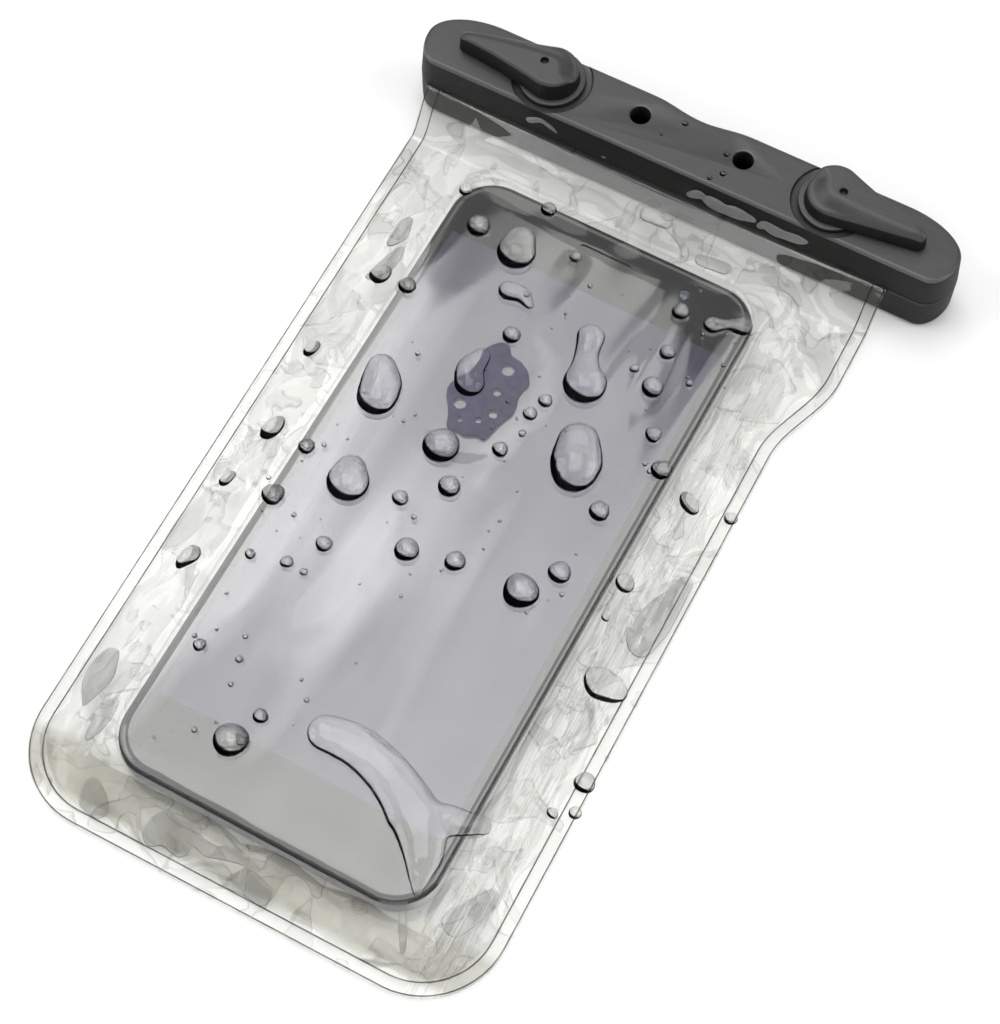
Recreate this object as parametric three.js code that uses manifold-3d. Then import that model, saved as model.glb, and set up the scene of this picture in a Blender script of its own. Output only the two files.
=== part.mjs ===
// Waterproof phone pouch: a clear film bag, welded along three sides, with a two-bar clamp
// across its mouth and a plain phone lying inside. It lies on its back, in millimetres, +Z up.
// X runs along the clamp, and +Y points from the pouch towards the clamp.
import * as THREE from 'three';
import { mergeVertices } from 'three/addons/utils/BufferGeometryUtils.js';
import Module from 'manifold-3d';

const wasm = await Module();
wasm.setup();

// Clearances
const gap = 0.3; // between pieces that touch on the real pouch
const throughCut = 2; // how far a cutter passes a face that it opens

// Clamp bars; Y is measured from the line of the two lanyard holes
const clampLength = 125;
const clampWidth = 16.3;
const holeLineSetback = 6.8; // from the far wall to the lanyard holes
const backBarHeight = 8.8;
const frontBarHeight = 8;
const partingGap = 0.6;
const shoulderLength = 15; // long rounding of each end, on the far side
const cornerLength = 5.5; // short rounding of each end, on the pouch side
const endTipSetback = 8.4; // from the far wall to the outermost point of each end
const wallDraft = 0.55;
const edgeRounding = 0.95;
const partingBevel = 0.25;
const footBevel = 0.9;
const scoopDepth = 1.3; // thumb scoop in the middle of the far wall
const scoopLength = 23;
const lanyardHoleRadius = 2.2;
const lanyardHoleSpacing = 24;

// Levers, their seats in the front bar and the posts that they hold
const leverSpacing = 65.4;
const pivotSetback = 7.3; // from the far wall to the levers' axes
const lockTurn = THREE.MathUtils.degToRad(3.7); // locked tails lean towards the pouch
const postRadius = 1.8;
const postReach = 2.9; // above the top face of the front bar
const postTopBevel = 0.5;
const sleeveWall = 1.1;
const ringWidth = 1;
const ringThickness = 0.8;
const ringGrooveDepth = 0.4;
const ringSeatHeight = 2.6; // pocket for the ring under the front bar
const flangeRadius = 7.2;
const flangeThickness = 1;
const dishMargin = 1.45; // round the flange, in the dish of the front bar
const dishDepth = 0.8;
const hubRadius = 5.7;
const hubFlare = 0.3; // the lever is wider at its foot than at its rim
const leverHeight = 5; // from its underside to the top of its hub
const tailReach = 19.7;
const tipRadius = 1.5;
const tailWaist = 0.4;
const tailFall = 0.9; // the top is lower at the tip than at the hub
const flankDepth = 1.6; // hollow flank beside the crest
const flankWidth = 3.6;
const crestOffset = 1.5; // from the axis to the crest beside the hub
const crestSetback = 1.6; // from the axis to the crest behind the hub
const rimRounding = 0.5;
const pinHoleOffset = 1.9;
const pinHoleRadius = 0.85;
const pinHoleDepth = 1.4;

// Sealing strips in the bars
const sealWidth = 2;
const sealHeight = 1.6;
const sealSetback = 2.4; // from the pouch-side wall to the strip's centre

// Film pouch
const filmThickness = 0.4;
const filmLeft = 58; // left edge, from the clamp's middle
const filmRight = 50.3; // right edge at the clamp
const filmDrawIn = 5.7; // the right edge lies this much further in below the clamp
const drawInStart = 30;
const drawInLength = 22;
const pouchDrop = 185; // bottom edge, from the lanyard holes
const pouchCorner = 17.5;
const weldWidth = 2.8;
const mouthDepth = 3.8; // film gripped between the bars
const riseLength = 8.3; // stretch in which the film climbs to the clamp
const puckerHeight = 1.1;
const filmBridge = 1.5; // the film stays level this far past the phone's sides

// Phone
const phoneWidth = 69.6;
const phoneLength = 148.8;
const phoneThickness = 7.5;
const phoneCorner = 9.5;
const phoneEdge = 2.2;
const phoneGlassThickness = 0.8;
const phoneTopSetback = 23.3; // from the lanyard holes to the phone's top end
const phoneShift = -5.6; // to the left of the clamp's middle
const phoneTurn = THREE.MathUtils.degToRad(-0.6);
const earpieceLength = 12;
const earpieceWidth = 1.2;
const earpieceSetback = 6;

// Places that follow from the sizes
const nearWall = holeLineSetback - clampWidth;
const farWall = holeLineSetback;
const endTip = holeLineSetback - endTipSetback;
const pivotLine = holeLineSetback - pivotSetback;
const dishRadius = flangeRadius + dishMargin;
const partingMiddle = backBarHeight + partingGap / 2;
const frontBarFoot = backBarHeight + partingGap;
const clampTop = frontBarFoot + frontBarHeight;
const mouthEdge = nearWall + mouthDepth;
const sealMiddle = nearWall + sealSetback;
const backMouthLevel = partingMiddle - gap / 2 - filmThickness;
const frontMouthLevel = partingMiddle + gap / 2;
const gripFloor = backMouthLevel - gap;
const gripCeiling = frontMouthLevel + filmThickness + gap;
const climbEnd = nearWall - gap;
const climbStart = climbEnd - riseLength;
const phoneFoot = filmThickness + gap;
const weldLevel = filmThickness + gap;
const overPhoneLevel = phoneFoot + phoneThickness + gap;
const phoneMiddle = -phoneTopSetback - phoneLength / 2;
const sleeveBore = postRadius + gap;
const sleeveRadius = sleeveBore + sleeveWall;
const ringRadius = sleeveRadius + ringWidth;
const dishFloor = clampTop - dishDepth;
const flangeFoot = dishFloor + gap;
const leverFoot = flangeFoot + flangeThickness;
const leverTop = leverFoot + leverHeight;
const ringCeiling = frontBarFoot + ringSeatHeight;
const ringTop = ringCeiling - gap;
const ringFoot = ringTop - ringThickness;
const sleeveFoot = frontBarFoot + gap;
const postTop = clampTop + postReach;

// Numbers of facets
const roundSteps = 24;
const cornerSteps = 6;
const shoulderSteps = 9;
const scoopSteps = 10;
const leverHubSteps = 20;
const leverSideSteps = 5;
const leverTipSteps = 5;

const satinPlastic = { color: 0x2e2c2b, roughness: 0.42, metalness: 0 };
const clearFilm = { color: 0xdfe0da, roughness: 0.12, metalness: 0, transparent: true, opacity: 0.3 };
const softSeal = { color: 0x3a3a3c, roughness: 0.7, metalness: 0 };
const ringSteel = { color: 0x9a9a9a, roughness: 0.35, metalness: 0.9 };
const phoneMetal = { color: 0x1b1b1f, roughness: 0.35, metalness: 0.4 };
const phoneGlass = { color: 0x101014, roughness: 0.06, metalness: 0 };

function smoothStep(from, to, value) {
  return THREE.MathUtils.smoothstep(value, from, to);
}

function mix(a, b, share) {
  return THREE.MathUtils.lerp(a, b, share);
}

// Merges shared corners, so that the surface is one closed skin
function closedSkin(geometry) {
  geometry.deleteAttribute('normal');
  geometry.deleteAttribute('uv');
  const merged = mergeVertices(geometry, 1e-5);
  const corners = merged.index.array;
  const kept = [];
  for (let i = 0; i < corners.length; i += 3) {
    const a = corners[i];
    const b = corners[i + 1];
    const c = corners[i + 2];
    if (a !== b && b !== c && c !== a) kept.push(a, b, c);
  }
  merged.setIndex(kept);
  return merged;
}

function toSolid(geometry) {
  const skin = closedSkin(geometry);
  return new wasm.Manifold(new wasm.Mesh({
    numProp: 3,
    vertProperties: new Float32Array(skin.attributes.position.array),
    triVerts: new Uint32Array(skin.index.array),
  }));
}

function toGeometry(solid) {
  const mesh = solid.getMesh();
  const geometry = new THREE.BufferGeometry();
  geometry.setAttribute('position', new THREE.BufferAttribute(mesh.vertProperties, mesh.numProp));
  geometry.setIndex(new THREE.BufferAttribute(mesh.triVerts, 1));
  return geometry;
}

function cutAway(solid, cutters) {
  return cutters.reduce((rest, cutter) => rest.subtract(cutter), solid);
}

// A solid of stacked rings, each counterclockwise from above, with a fan over each end
function ringSolid(rings, footCentre, topCentre) {
  const count = rings[0].length;
  const positions = [];
  for (const ring of rings) {
    for (const point of ring) positions.push(point.x, point.y, point.z);
  }
  const foot = rings.length * count;
  const top = foot + 1;
  positions.push(footCentre.x, footCentre.y, footCentre.z);
  positions.push(topCentre.x, topCentre.y, topCentre.z);
  const index = [];
  for (let i = 0; i < count; i++) {
    const next = (i + 1) % count;
    for (let k = 0; k + 1 < rings.length; k++) {
      const low = k * count;
      const high = low + count;
      index.push(low + i, low + next, high + next);
      index.push(low + i, high + next, high + i);
    }
    index.push(foot, next, i);
    index.push(top, (rings.length - 1) * count + i, (rings.length - 1) * count + next);
  }
  const geometry = new THREE.BufferGeometry();
  geometry.setAttribute('position', new THREE.Float32BufferAttribute(positions, 3));
  geometry.setIndex(index);
  return geometry;
}

function levelRing(outline, z) {
  return outline.map((point) => new THREE.Vector3(point.x, point.y, z));
}

function block(x0, x1, y0, y1, z0, z1) {
  const box = new THREE.BoxGeometry(x1 - x0, y1 - y0, z1 - z0);
  box.translate((x0 + x1) / 2, (y0 + y1) / 2, (z0 + z1) / 2);
  return toSolid(box);
}

// A turned solid on a vertical axis; the profile lists radius and height from foot to top
function turned(profile, x, y) {
  const points = profile.map(([radius, height]) => new THREE.Vector2(radius, height));
  const lathe = new THREE.LatheGeometry(points, roundSteps);
  lathe.rotateX(Math.PI / 2);
  lathe.translate(x, y, 0);
  return toSolid(lathe);
}

function rod(radius, x, y, z0, z1) {
  return turned([[0, z0], [radius, z0], [radius, z1], [0, z1]], x, y);
}

// Outline of the bars, drawn in from the parting line by an inset
function clampOutline(inset) {
  const half = clampLength / 2;
  const near = nearWall + inset;
  const far = farWall - inset;
  const points = [];
  const quarter = (side, length, depth, from, steps, last) => {
    const reach = length - inset;
    for (let k = 0; k < steps + last; k++) {
      const angle = THREE.MathUtils.degToRad(from + (90 * k) / steps);
      const x = side * (half - length) + reach * Math.cos(angle);
      points.push(new THREE.Vector2(x, endTip + depth * Math.sin(angle)));
    }
  };
  quarter(1, cornerLength, endTip - near, -90, cornerSteps, 0);
  quarter(1, shoulderLength, far - endTip, 0, shoulderSteps, 1);
  for (let k = 0; k <= scoopSteps; k++) {
    const x = scoopLength * (0.5 - k / scoopSteps);
    const dip = (1 + Math.cos((2 * Math.PI * x) / scoopLength)) / 2;
    points.push(new THREE.Vector2(x, far - scoopDepth * dip));
  }
  quarter(-1, shoulderLength, far - endTip, 90, shoulderSteps, 0);
  quarter(-1, cornerLength, endTip - near, 180, cornerSteps, 1);
  return points;
}

function barSolid(levels) {
  const rings = levels.map(([inset, z]) => levelRing(clampOutline(inset), z));
  const foot = new THREE.Vector3(0, endTip, levels[0][1]);
  const top = new THREE.Vector3(0, endTip, levels[levels.length - 1][1]);
  return toSolid(ringSolid(rings, foot, top));
}

function lanyardHoles() {
  return [-1, 1].map((side) => {
    const x = (side * lanyardHoleSpacing) / 2;
    return rod(lanyardHoleRadius, x, 0, -throughCut, clampTop + throughCut);
  });
}

// Slot for the film's mouth along the pouch-side wall, and the groove of a sealing strip
function gripCut(z0, z1) {
  const left = -filmLeft - gap;
  return block(left, filmRight + gap, nearWall - throughCut, mouthEdge + gap, z0, z1);
}

function sealGroove(z0, z1) {
  const half = sealWidth / 2 + gap;
  return block(-filmLeft - gap, filmRight + gap, sealMiddle - half, sealMiddle + half, z0, z1);
}

function backBar() {
  const body = barSolid([
    [footBevel, 0],
    [0.25 * footBevel, 0.4 * footBevel],
    [0, 1.4 * footBevel],
    [0, backBarHeight - partingBevel],
    [partingBevel, backBarHeight],
  ]);
  const posts = [-1, 1].map((side) => turned([
    [0, backBarHeight - throughCut],
    [postRadius, backBarHeight - throughCut],
    [postRadius, postTop - postTopBevel],
    [postRadius - postTopBevel, postTop],
    [0, postTop],
  ], (side * leverSpacing) / 2, pivotLine));
  const withPosts = posts.reduce((solid, post) => solid.add(post), body);
  return toGeometry(cutAway(withPosts, [
    ...lanyardHoles(),
    gripCut(gripFloor, frontBarFoot),
    sealGroove(gripFloor - sealHeight - gap, frontBarFoot),
  ]));
}

function frontBar() {
  const levels = [
    [partingBevel, frontBarFoot],
    [0, frontBarFoot + partingBevel],
  ];
  for (const share of [0, 1 / 3, 2 / 3, 1]) {
    const angle = (share * Math.PI) / 2;
    const inset = wallDraft + edgeRounding * (1 - Math.cos(angle));
    levels.push([inset, clampTop - edgeRounding * (1 - Math.sin(angle))]);
  }
  const cutters = [-1, 1].flatMap((side) => {
    const x = (side * leverSpacing) / 2;
    return [
      rod(dishRadius, x, pivotLine, dishFloor, clampTop + throughCut),
      rod(sleeveRadius + gap, x, pivotLine, frontBarFoot - throughCut, clampTop + throughCut),
      rod(ringRadius + gap, x, pivotLine, frontBarFoot - throughCut, ringCeiling),
    ];
  });
  return toGeometry(cutAway(barSolid(levels), [
    ...cutters,
    ...lanyardHoles(),
    gripCut(backBarHeight, gripCeiling),
    sealGroove(backBarHeight, gripCeiling + sealHeight + gap),
  ]));
}

// A sealing strip: flat on its seat, with a rounded face towards the film
function sealStrip(seat, face) {
  const half = sealWidth / 2;
  const shoulder = mix(seat, face, 0.6);
  const section = new THREE.Shape();
  section.moveTo(-half, seat);
  section.lineTo(half, seat);
  section.lineTo(half, shoulder);
  section.bezierCurveTo(half, face, -half, face, -half, shoulder);
  section.closePath();
  const length = filmLeft + filmRight;
  const strip = new THREE.ExtrudeGeometry(section, { depth: length, bevelEnabled: false, curveSegments: 6 });
  // The section's x and y become the strip's -y and z, and its length runs along x
  strip.rotateX(Math.PI / 2);
  strip.rotateZ(Math.PI / 2);
  strip.translate(-filmLeft, sealMiddle, 0);
  return closedSkin(strip);
}

// Outline of a lever, about its axis, with its tail along +X
function leverOutline(grow) {
  const hub = hubRadius + grow;
  const tip = tipRadius + grow;
  const touch = Math.acos((hub - tip) / tailReach);
  const points = [];
  const arc = (middle, radius, from, to, count) => {
    for (let k = 0; k <= count; k++) {
      const angle = mix(from, to, k / count);
      points.push(new THREE.Vector2(middle + radius * Math.cos(angle), radius * Math.sin(angle)));
    }
  };
  const side = (sign, from, to, bow) => {
    const start = new THREE.Vector2(from.x + from.r * Math.cos(touch), sign * from.r * Math.sin(touch));
    const end = new THREE.Vector2(to.x + to.r * Math.cos(touch), sign * to.r * Math.sin(touch));
    for (let k = 1; k < leverSideSteps; k++) {
      const point = start.clone().lerp(end, k / leverSideSteps);
      point.y -= bow * Math.sin((Math.PI * k) / leverSideSteps);
      points.push(point);
    }
  };
  const hubEnd = { x: 0, r: hub };
  const tipEnd = { x: tailReach, r: tip };
  arc(0, hub, touch, 2 * Math.PI - touch, leverHubSteps);
  side(-1, hubEnd, tipEnd, 0);
  arc(tailReach, tip, -touch, touch, leverTipSteps);
  side(1, tipEnd, hubEnd, tailWaist);
  return points;
}

// Height of a lever's top: a plane that falls towards the tip, with a hollow flank
// below a crest that runs along the tail and round the hub
function leverHeightAt(x, y) {
  const along = Math.max(x, 0) / tailReach;
  const plane = leverTop - tailFall * along;
  const crest = mix(-crestOffset, 0, along ** 2);
  const beside = Math.max(crest - y, 0);
  const behind = Math.max(-crestSetback - x, 0) * smoothStep(hubRadius, 0, y);
  const share = Math.min(Math.hypot(beside, behind) / flankWidth, 1);
  return plane - flankDepth * (1 - (1 - share) ** 2);
}

function leverBody() {
  const rim = leverOutline(0);
  const rings = [levelRing(leverOutline(hubFlare), leverFoot)];
  const rimShare = 0.9;
  for (const share of [1, 0.97, 0.9, 0.74, 0.52, 0.28]) {
    const nearRim = Math.max(0, (share - rimShare) / (1 - rimShare));
    const drop = rimRounding * (1 - Math.sqrt(1 - nearRim ** 2));
    rings.push(rim.map((point) => {
      const x = point.x * share;
      const y = point.y * share;
      return new THREE.Vector3(x, y, leverHeightAt(x, y) - drop);
    }));
  }
  const foot = new THREE.Vector3(0, 0, leverFoot);
  const top = new THREE.Vector3(0, 0, leverHeightAt(0, 0));
  return toSolid(ringSolid(rings, foot, top));
}

function lever() {
  const grooveFoot = ringFoot - gap;
  const grooveRadius = sleeveRadius - ringGrooveDepth;
  const stem = turned([
    [0, sleeveFoot],
    [sleeveRadius, sleeveFoot],
    [sleeveRadius, grooveFoot],
    [grooveRadius, grooveFoot],
    [grooveRadius, ringTop + gap],
    [sleeveRadius, ringTop + gap],
    [sleeveRadius, flangeFoot],
    [flangeRadius, flangeFoot],
    [flangeRadius, leverFoot - gap],
    [flangeRadius - gap, leverFoot],
    [hubRadius - gap, leverFoot],
    [hubRadius - gap, leverFoot + gap],
    [0, leverFoot + gap],
  ], 0, 0);
  return toGeometry(cutAway(leverBody().add(stem), [
    rod(sleeveBore, 0, 0, sleeveFoot - throughCut, postTop + gap),
    rod(pinHoleRadius, pinHoleOffset, 0, leverTop - pinHoleDepth, leverTop + throughCut),
  ]));
}

function retainingRing() {
  const inner = sleeveRadius - ringGrooveDepth + gap;
  const profile = [
    [inner, ringFoot],
    [ringRadius, ringFoot],
    [ringRadius, ringTop],
    [inner, ringTop],
    [inner, ringFoot],
  ].map(([radius, height]) => new THREE.Vector2(radius, height));
  const ring = new THREE.LatheGeometry(profile, roundSteps);
  ring.rotateX(Math.PI / 2);
  return closedSkin(ring);
}

// Right edge of the film, which is drawn in below the clamp
function rightEdgeAt(y) {
  return filmRight - filmDrawIn * smoothStep(drawInStart, drawInStart + drawInLength, -y);
}

function cornerInset(y) {
  const rest = Math.max(pouchCorner - (y + pouchDrop), 0);
  return pouchCorner - Math.sqrt(Math.max(pouchCorner ** 2 - rest ** 2, 0));
}

// Distance inwards from the pouch's welded edge
function edgeDistance(x, y) {
  const side = Math.min(x + filmLeft, rightEdgeAt(y) - x);
  const bottom = y + pouchDrop;
  if (side < pouchCorner && bottom < pouchCorner) {
    return pouchCorner - Math.hypot(pouchCorner - side, pouchCorner - bottom);
  }
  return Math.min(side, bottom);
}

// Distance outwards from the rectangle over which the phone holds the film up
function phoneDistance(x, y) {
  const local = new THREE.Vector2(x - phoneShift, y - phoneMiddle);
  local.rotateAround(new THREE.Vector2(), -phoneTurn);
  const dx = Math.abs(local.x) - phoneWidth / 2 - filmBridge;
  const dy = Math.abs(local.y) - phoneLength / 2 - filmBridge;
  return Math.hypot(Math.max(dx, 0), Math.max(dy, 0));
}

function climb(y) {
  return smoothStep(climbStart, climbEnd, y);
}

function puckers(x, y) {
  return 0.6 * Math.sin(0.37 * y + 0.3 * x) + 0.4 * Math.sin(0.23 * y - 0.41 * x + 1);
}

// Underside of the front film: flat over the phone, puckered where it falls to the weld
function frontFilmLevel(x, y) {
  const outside = phoneDistance(x, y);
  const inside = Math.max(edgeDistance(x, y) - weldWidth, 0);
  const share = outside / (outside + inside + 1e-6);
  const tent = mix(overPhoneLevel, weldLevel, share * share * (3 - 2 * share));
  const waved = tent + puckerHeight * 4 * share * (1 - share) * puckers(x, y);
  return mix(Math.max(waved, weldLevel), frontMouthLevel, climb(y));
}

function backFilmLevel(x, y) {
  return mix(0, backMouthLevel, climb(y));
}

function steps(breaks, counts) {
  const values = [breaks[0]];
  counts.forEach((count, i) => {
    for (let k = 1; k <= count; k++) values.push(mix(breaks[i], breaks[i + 1], k / count));
  });
  return values;
}

// Rows of the film from its mouth to its bottom edge, closer together round the corners
function filmRows(bodyRows) {
  const cornerStart = pouchCorner - pouchDrop;
  const overPhone = filmBridge - phoneTopSetback;
  const rows = steps([mouthEdge, climbEnd, overPhone, cornerStart], [2, 5, bodyRows]);
  const cornerRows = 7;
  for (let k = cornerRows - 1; k >= 0; k--) {
    rows.push(pouchCorner * (1 - Math.cos((Math.PI / 2) * (k / cornerRows))) - pouchDrop);
  }
  return rows;
}

// Columns across the film below the clamp, measured from its left edge
const drawnWidth = filmLeft + filmRight - filmDrawIn;
const phoneFromLeft = filmLeft + phoneShift - phoneWidth / 2 - filmBridge;
const phoneFarSide = phoneFromLeft + phoneWidth + 2 * filmBridge;

function filmColumns(counts) {
  const breaks = [0, weldWidth, phoneFromLeft, phoneFarSide, drawnWidth - weldWidth, drawnWidth];
  return steps(breaks, counts);
}

// A column's place at a row: squeezed between the round corners, and let out beside the clamp
function columnAt(column, y) {
  const inset = cornerInset(y);
  const squeezed = mix(inset, drawnWidth - inset, column / drawnWidth);
  const beside = Math.max(column - phoneFarSide, 0) / (drawnWidth - phoneFarSide);
  return squeezed - filmLeft + beside * (rightEdgeAt(y) - filmRight + filmDrawIn);
}

// A film as one closed sheet over the pouch's outline
function filmSheet(columns, rows, level) {
  const positions = [];
  const index = [];
  const layer = columns.length * rows.length;
  for (const lift of [filmThickness, 0]) {
    for (const y of rows) {
      for (const column of columns) {
        const x = columnAt(column, y);
        positions.push(x, y, level(x, y) + lift);
      }
    }
  }
  const at = (row, column, below) => row * columns.length + column + below * layer;
  const quad = (a, b, c, d) => index.push(a, b, c, a, c, d);
  const lastRow = rows.length - 1;
  const lastColumn = columns.length - 1;
  for (let r = 0; r < lastRow; r++) {
    for (let c = 0; c < lastColumn; c++) {
      quad(at(r + 1, c, 0), at(r + 1, c + 1, 0), at(r, c + 1, 0), at(r, c, 0));
      quad(at(r, c, 1), at(r, c + 1, 1), at(r + 1, c + 1, 1), at(r + 1, c, 1));
    }
    quad(at(r, 0, 0), at(r, 0, 1), at(r + 1, 0, 1), at(r + 1, 0, 0));
    quad(at(r + 1, lastColumn, 0), at(r + 1, lastColumn, 1), at(r, lastColumn, 1), at(r, lastColumn, 0));
  }
  for (let c = 0; c < lastColumn; c++) {
    quad(at(0, c + 1, 0), at(0, c + 1, 1), at(0, c, 1), at(0, c, 0));
    quad(at(lastRow, c, 0), at(lastRow, c, 1), at(lastRow, c + 1, 1), at(lastRow, c + 1, 0));
  }
  const sheet = new THREE.BufferGeometry();
  sheet.setAttribute('position', new THREE.Float32BufferAttribute(positions, 3));
  sheet.setIndex(index);
  return sheet;
}

function phoneOutline(inset) {
  const radius = phoneCorner - inset;
  const steps90 = 7;
  const points = [];
  for (const [sx, sy, from] of [[1, -1, -90], [1, 1, 0], [-1, 1, 90], [-1, -1, 180]]) {
    for (let k = 0; k <= steps90; k++) {
      const angle = THREE.MathUtils.degToRad(from + (90 * k) / steps90);
      const x = sx * (phoneWidth / 2 - phoneCorner) + radius * Math.cos(angle);
      const y = sy * (phoneLength / 2 - phoneCorner) + radius * Math.sin(angle);
      points.push(new THREE.Vector2(x, y));
    }
  }
  return points;
}

function phoneSlab(levels) {
  const rings = levels.map(([inset, z]) => levelRing(phoneOutline(inset), z));
  const foot = new THREE.Vector3(0, 0, levels[0][1]);
  const top = new THREE.Vector3(0, 0, levels[levels.length - 1][1]);
  return ringSolid(rings, foot, top);
}

function phoneShell() {
  const top = phoneFoot + phoneThickness - phoneGlassThickness - gap;
  const levels = [];
  for (const share of [0, 1 / 3, 2 / 3, 1]) {
    const angle = (share * Math.PI) / 2;
    const inset = phoneEdge * (1 - Math.sin(angle));
    levels.push([inset, phoneFoot + phoneEdge * (1 - Math.cos(angle))]);
  }
  levels.push([0, top - phoneEdge / 2]);
  levels.push([phoneEdge / 8, top]);
  return phoneSlab(levels);
}

function phoneFrontGlass() {
  const top = phoneFoot + phoneThickness;
  const foot = top - phoneGlassThickness;
  const glass = toSolid(phoneSlab([
    [phoneEdge / 4, foot],
    [phoneEdge / 3, foot + phoneGlassThickness / 2],
    [phoneEdge * 0.6, top - phoneGlassThickness / 6],
    [phoneEdge, top],
  ]));
  const slotMiddle = phoneLength / 2 - earpieceSetback;
  const slot = block(
    -earpieceLength / 2, earpieceLength / 2,
    slotMiddle - earpieceWidth / 2, slotMiddle + earpieceWidth / 2,
    foot - throughCut, top + throughCut,
  );
  return toGeometry(glass.subtract(slot));
}

function piece(name, geometry, finish) {
  const mesh = new THREE.Mesh(geometry, new THREE.MeshStandardMaterial(finish));
  geometry.computeVertexNormals();
  mesh.name = name;
  return mesh;
}

function leverGroup(side, label) {
  const group = new THREE.Group();
  group.position.set((side * leverSpacing) / 2, pivotLine, 0);
  group.rotation.z = side > 0 ? -lockTurn : Math.PI + lockTurn;
  group.add(piece(`${label}_lever`, lever(), satinPlastic));
  group.add(piece(`${label}_retaining_ring`, retainingRing(), ringSteel));
  return group;
}

function clampGroup() {
  const group = new THREE.Group();
  group.add(piece('back_bar', backBar(), satinPlastic));
  group.add(piece('front_bar', frontBar(), satinPlastic));
  group.add(piece('back_seal', sealStrip(gripFloor - sealHeight, gripFloor), softSeal));
  group.add(piece('front_seal', sealStrip(gripCeiling + sealHeight, gripCeiling), softSeal));
  group.add(leverGroup(-1, 'left'), leverGroup(1, 'right'));
  return group;
}

function pouchGroup() {
  const group = new THREE.Group();
  const fine = filmSheet(filmColumns([1, 5, 5, 4, 1]), filmRows(24), frontFilmLevel);
  const plain = filmSheet(filmColumns([1, 2, 2, 2, 1]), filmRows(15), backFilmLevel);
  group.add(piece('front_film', fine, clearFilm));
  group.add(piece('back_film', plain, clearFilm));
  return group;
}

function phoneGroup() {
  const group = new THREE.Group();
  group.position.set(phoneShift, phoneMiddle, 0);
  group.rotation.z = phoneTurn;
  group.add(piece('phone_shell', phoneShell(), phoneMetal));
  group.add(piece('phone_glass', phoneFrontGlass(), phoneGlass));
  return group;
}

// The origin is under the middle of the whole pouch
const pouch = new THREE.Group();
pouch.position.y = (pouchDrop - farWall) / 2;
pouch.add(clampGroup(), pouchGroup(), phoneGroup());

export default pouch;
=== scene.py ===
"""Looks of the waterproof phone pouch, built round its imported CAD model.

Shapes are written in millimetres, in the clamp's own frame: x along the clamp from its middle,
y from the line of the two lanyard holes, z from the floor. place() turns them into the row frame.
"""

import math
import random

import bmesh
import bpy
from mathutils import Matrix, Vector, noise


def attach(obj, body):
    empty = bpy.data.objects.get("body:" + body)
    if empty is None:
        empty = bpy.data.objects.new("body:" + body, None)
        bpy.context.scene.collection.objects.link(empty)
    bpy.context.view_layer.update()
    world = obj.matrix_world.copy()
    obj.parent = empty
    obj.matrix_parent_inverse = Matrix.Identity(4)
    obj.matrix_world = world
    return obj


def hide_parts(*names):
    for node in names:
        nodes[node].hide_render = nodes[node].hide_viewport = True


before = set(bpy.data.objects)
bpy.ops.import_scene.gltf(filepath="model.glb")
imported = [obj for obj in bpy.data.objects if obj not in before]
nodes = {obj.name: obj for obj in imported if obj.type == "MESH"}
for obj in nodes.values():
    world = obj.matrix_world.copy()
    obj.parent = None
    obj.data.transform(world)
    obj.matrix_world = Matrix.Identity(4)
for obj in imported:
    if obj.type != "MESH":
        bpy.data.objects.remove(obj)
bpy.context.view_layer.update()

MM = 0.001
ROW_SHIFT = 89.1  # the row frame's origin lies this far towards the pouch from the lanyard holes

# Sizes of the CAD model, in millimetres
CLAMP_LENGTH = 125
FAR_WALL = 6.8
NEAR_WALL = -9.5
END_TIP = -1.6
BACK_BAR_TOP = 8.8
FRONT_BAR_FOOT = 9.4
CLAMP_TOP = 17.4
SHOULDER_LENGTH = 15
CORNER_LENGTH = 5.5
WALL_DRAFT = 0.55
EDGE_ROUNDING = 0.95
PARTING_BEVEL = 0.25
FOOT_BEVEL = 0.9
SCOOP_DEPTH = 1.3
SCOOP_LENGTH = 23
LANYARD_HOLE_RADIUS = 2.2
LANYARD_HOLE_X = 12
PIVOT_X = 32.7
PIVOT_Y = -0.5
LOCK_TURN = math.radians(3.7)
POST_RADIUS = 1.8
POST_TOP = 20.3
SLEEVE_BORE = 2.1
SLEEVE_RADIUS = 3.2
SLEEVE_FOOT = 9.7
RING_RADIUS = 4.2
RING_CEILING = 12
GROOVE_NEAR = -8.4
GROOVE_FAR = -5.8
GROOVE_FLOOR = 6.35
GROOVE_CEILING = 11.85
DISH_RADIUS = 8.65
DISH_FLOOR = 16.6
FLANGE_RADIUS = 7.2
FLANGE_FOOT = 16.9
LEVER_FOOT = 17.9
LEVER_TOP = 22.9
HUB_RADIUS = 5.7
HUB_FLARE = 0.3
TAIL_REACH = 19.7
TIP_RADIUS = 1.5
TAIL_WAIST = 0.4
TAIL_FALL = 0.9
FLANK_DEPTH = 1.6
FLANK_WIDTH = 3.6
CREST_OFFSET = 1.5
CREST_SETBACK = 1.6
CREST_ROUNDING = 2.4
RIM_DROP = 0.8
PIN_HOLE_OFFSET = 1.9
PIN_HOLE_RADIUS = 0.85
PIN_HOLE_DEPTH = 1.4
FILM = 0.4
FILM_LEFT = 58
FILM_RIGHT = 50.3
FILM_DRAW_IN = 5.7
DRAW_IN_START = 30
DRAW_IN_LENGTH = 22
POUCH_DROP = 185
POUCH_CORNER = 17.5
WELD_WIDTH = 2.8
WELD_LEVEL = 0.7
MOUTH_EDGE = -5.7
CLIMB_START = -18.1
CLIMB_END = -9.8
BACK_MOUTH = 8.55
FRONT_MOUTH = 9.25
OVER_PHONE = 8.5
FILM_BRIDGE = 1.5
PUCKER_HEIGHT = 1.1
PHONE_WIDTH = 69.6
PHONE_LENGTH = 148.8
PHONE_X = -5.6
PHONE_Y = -97.7
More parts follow.
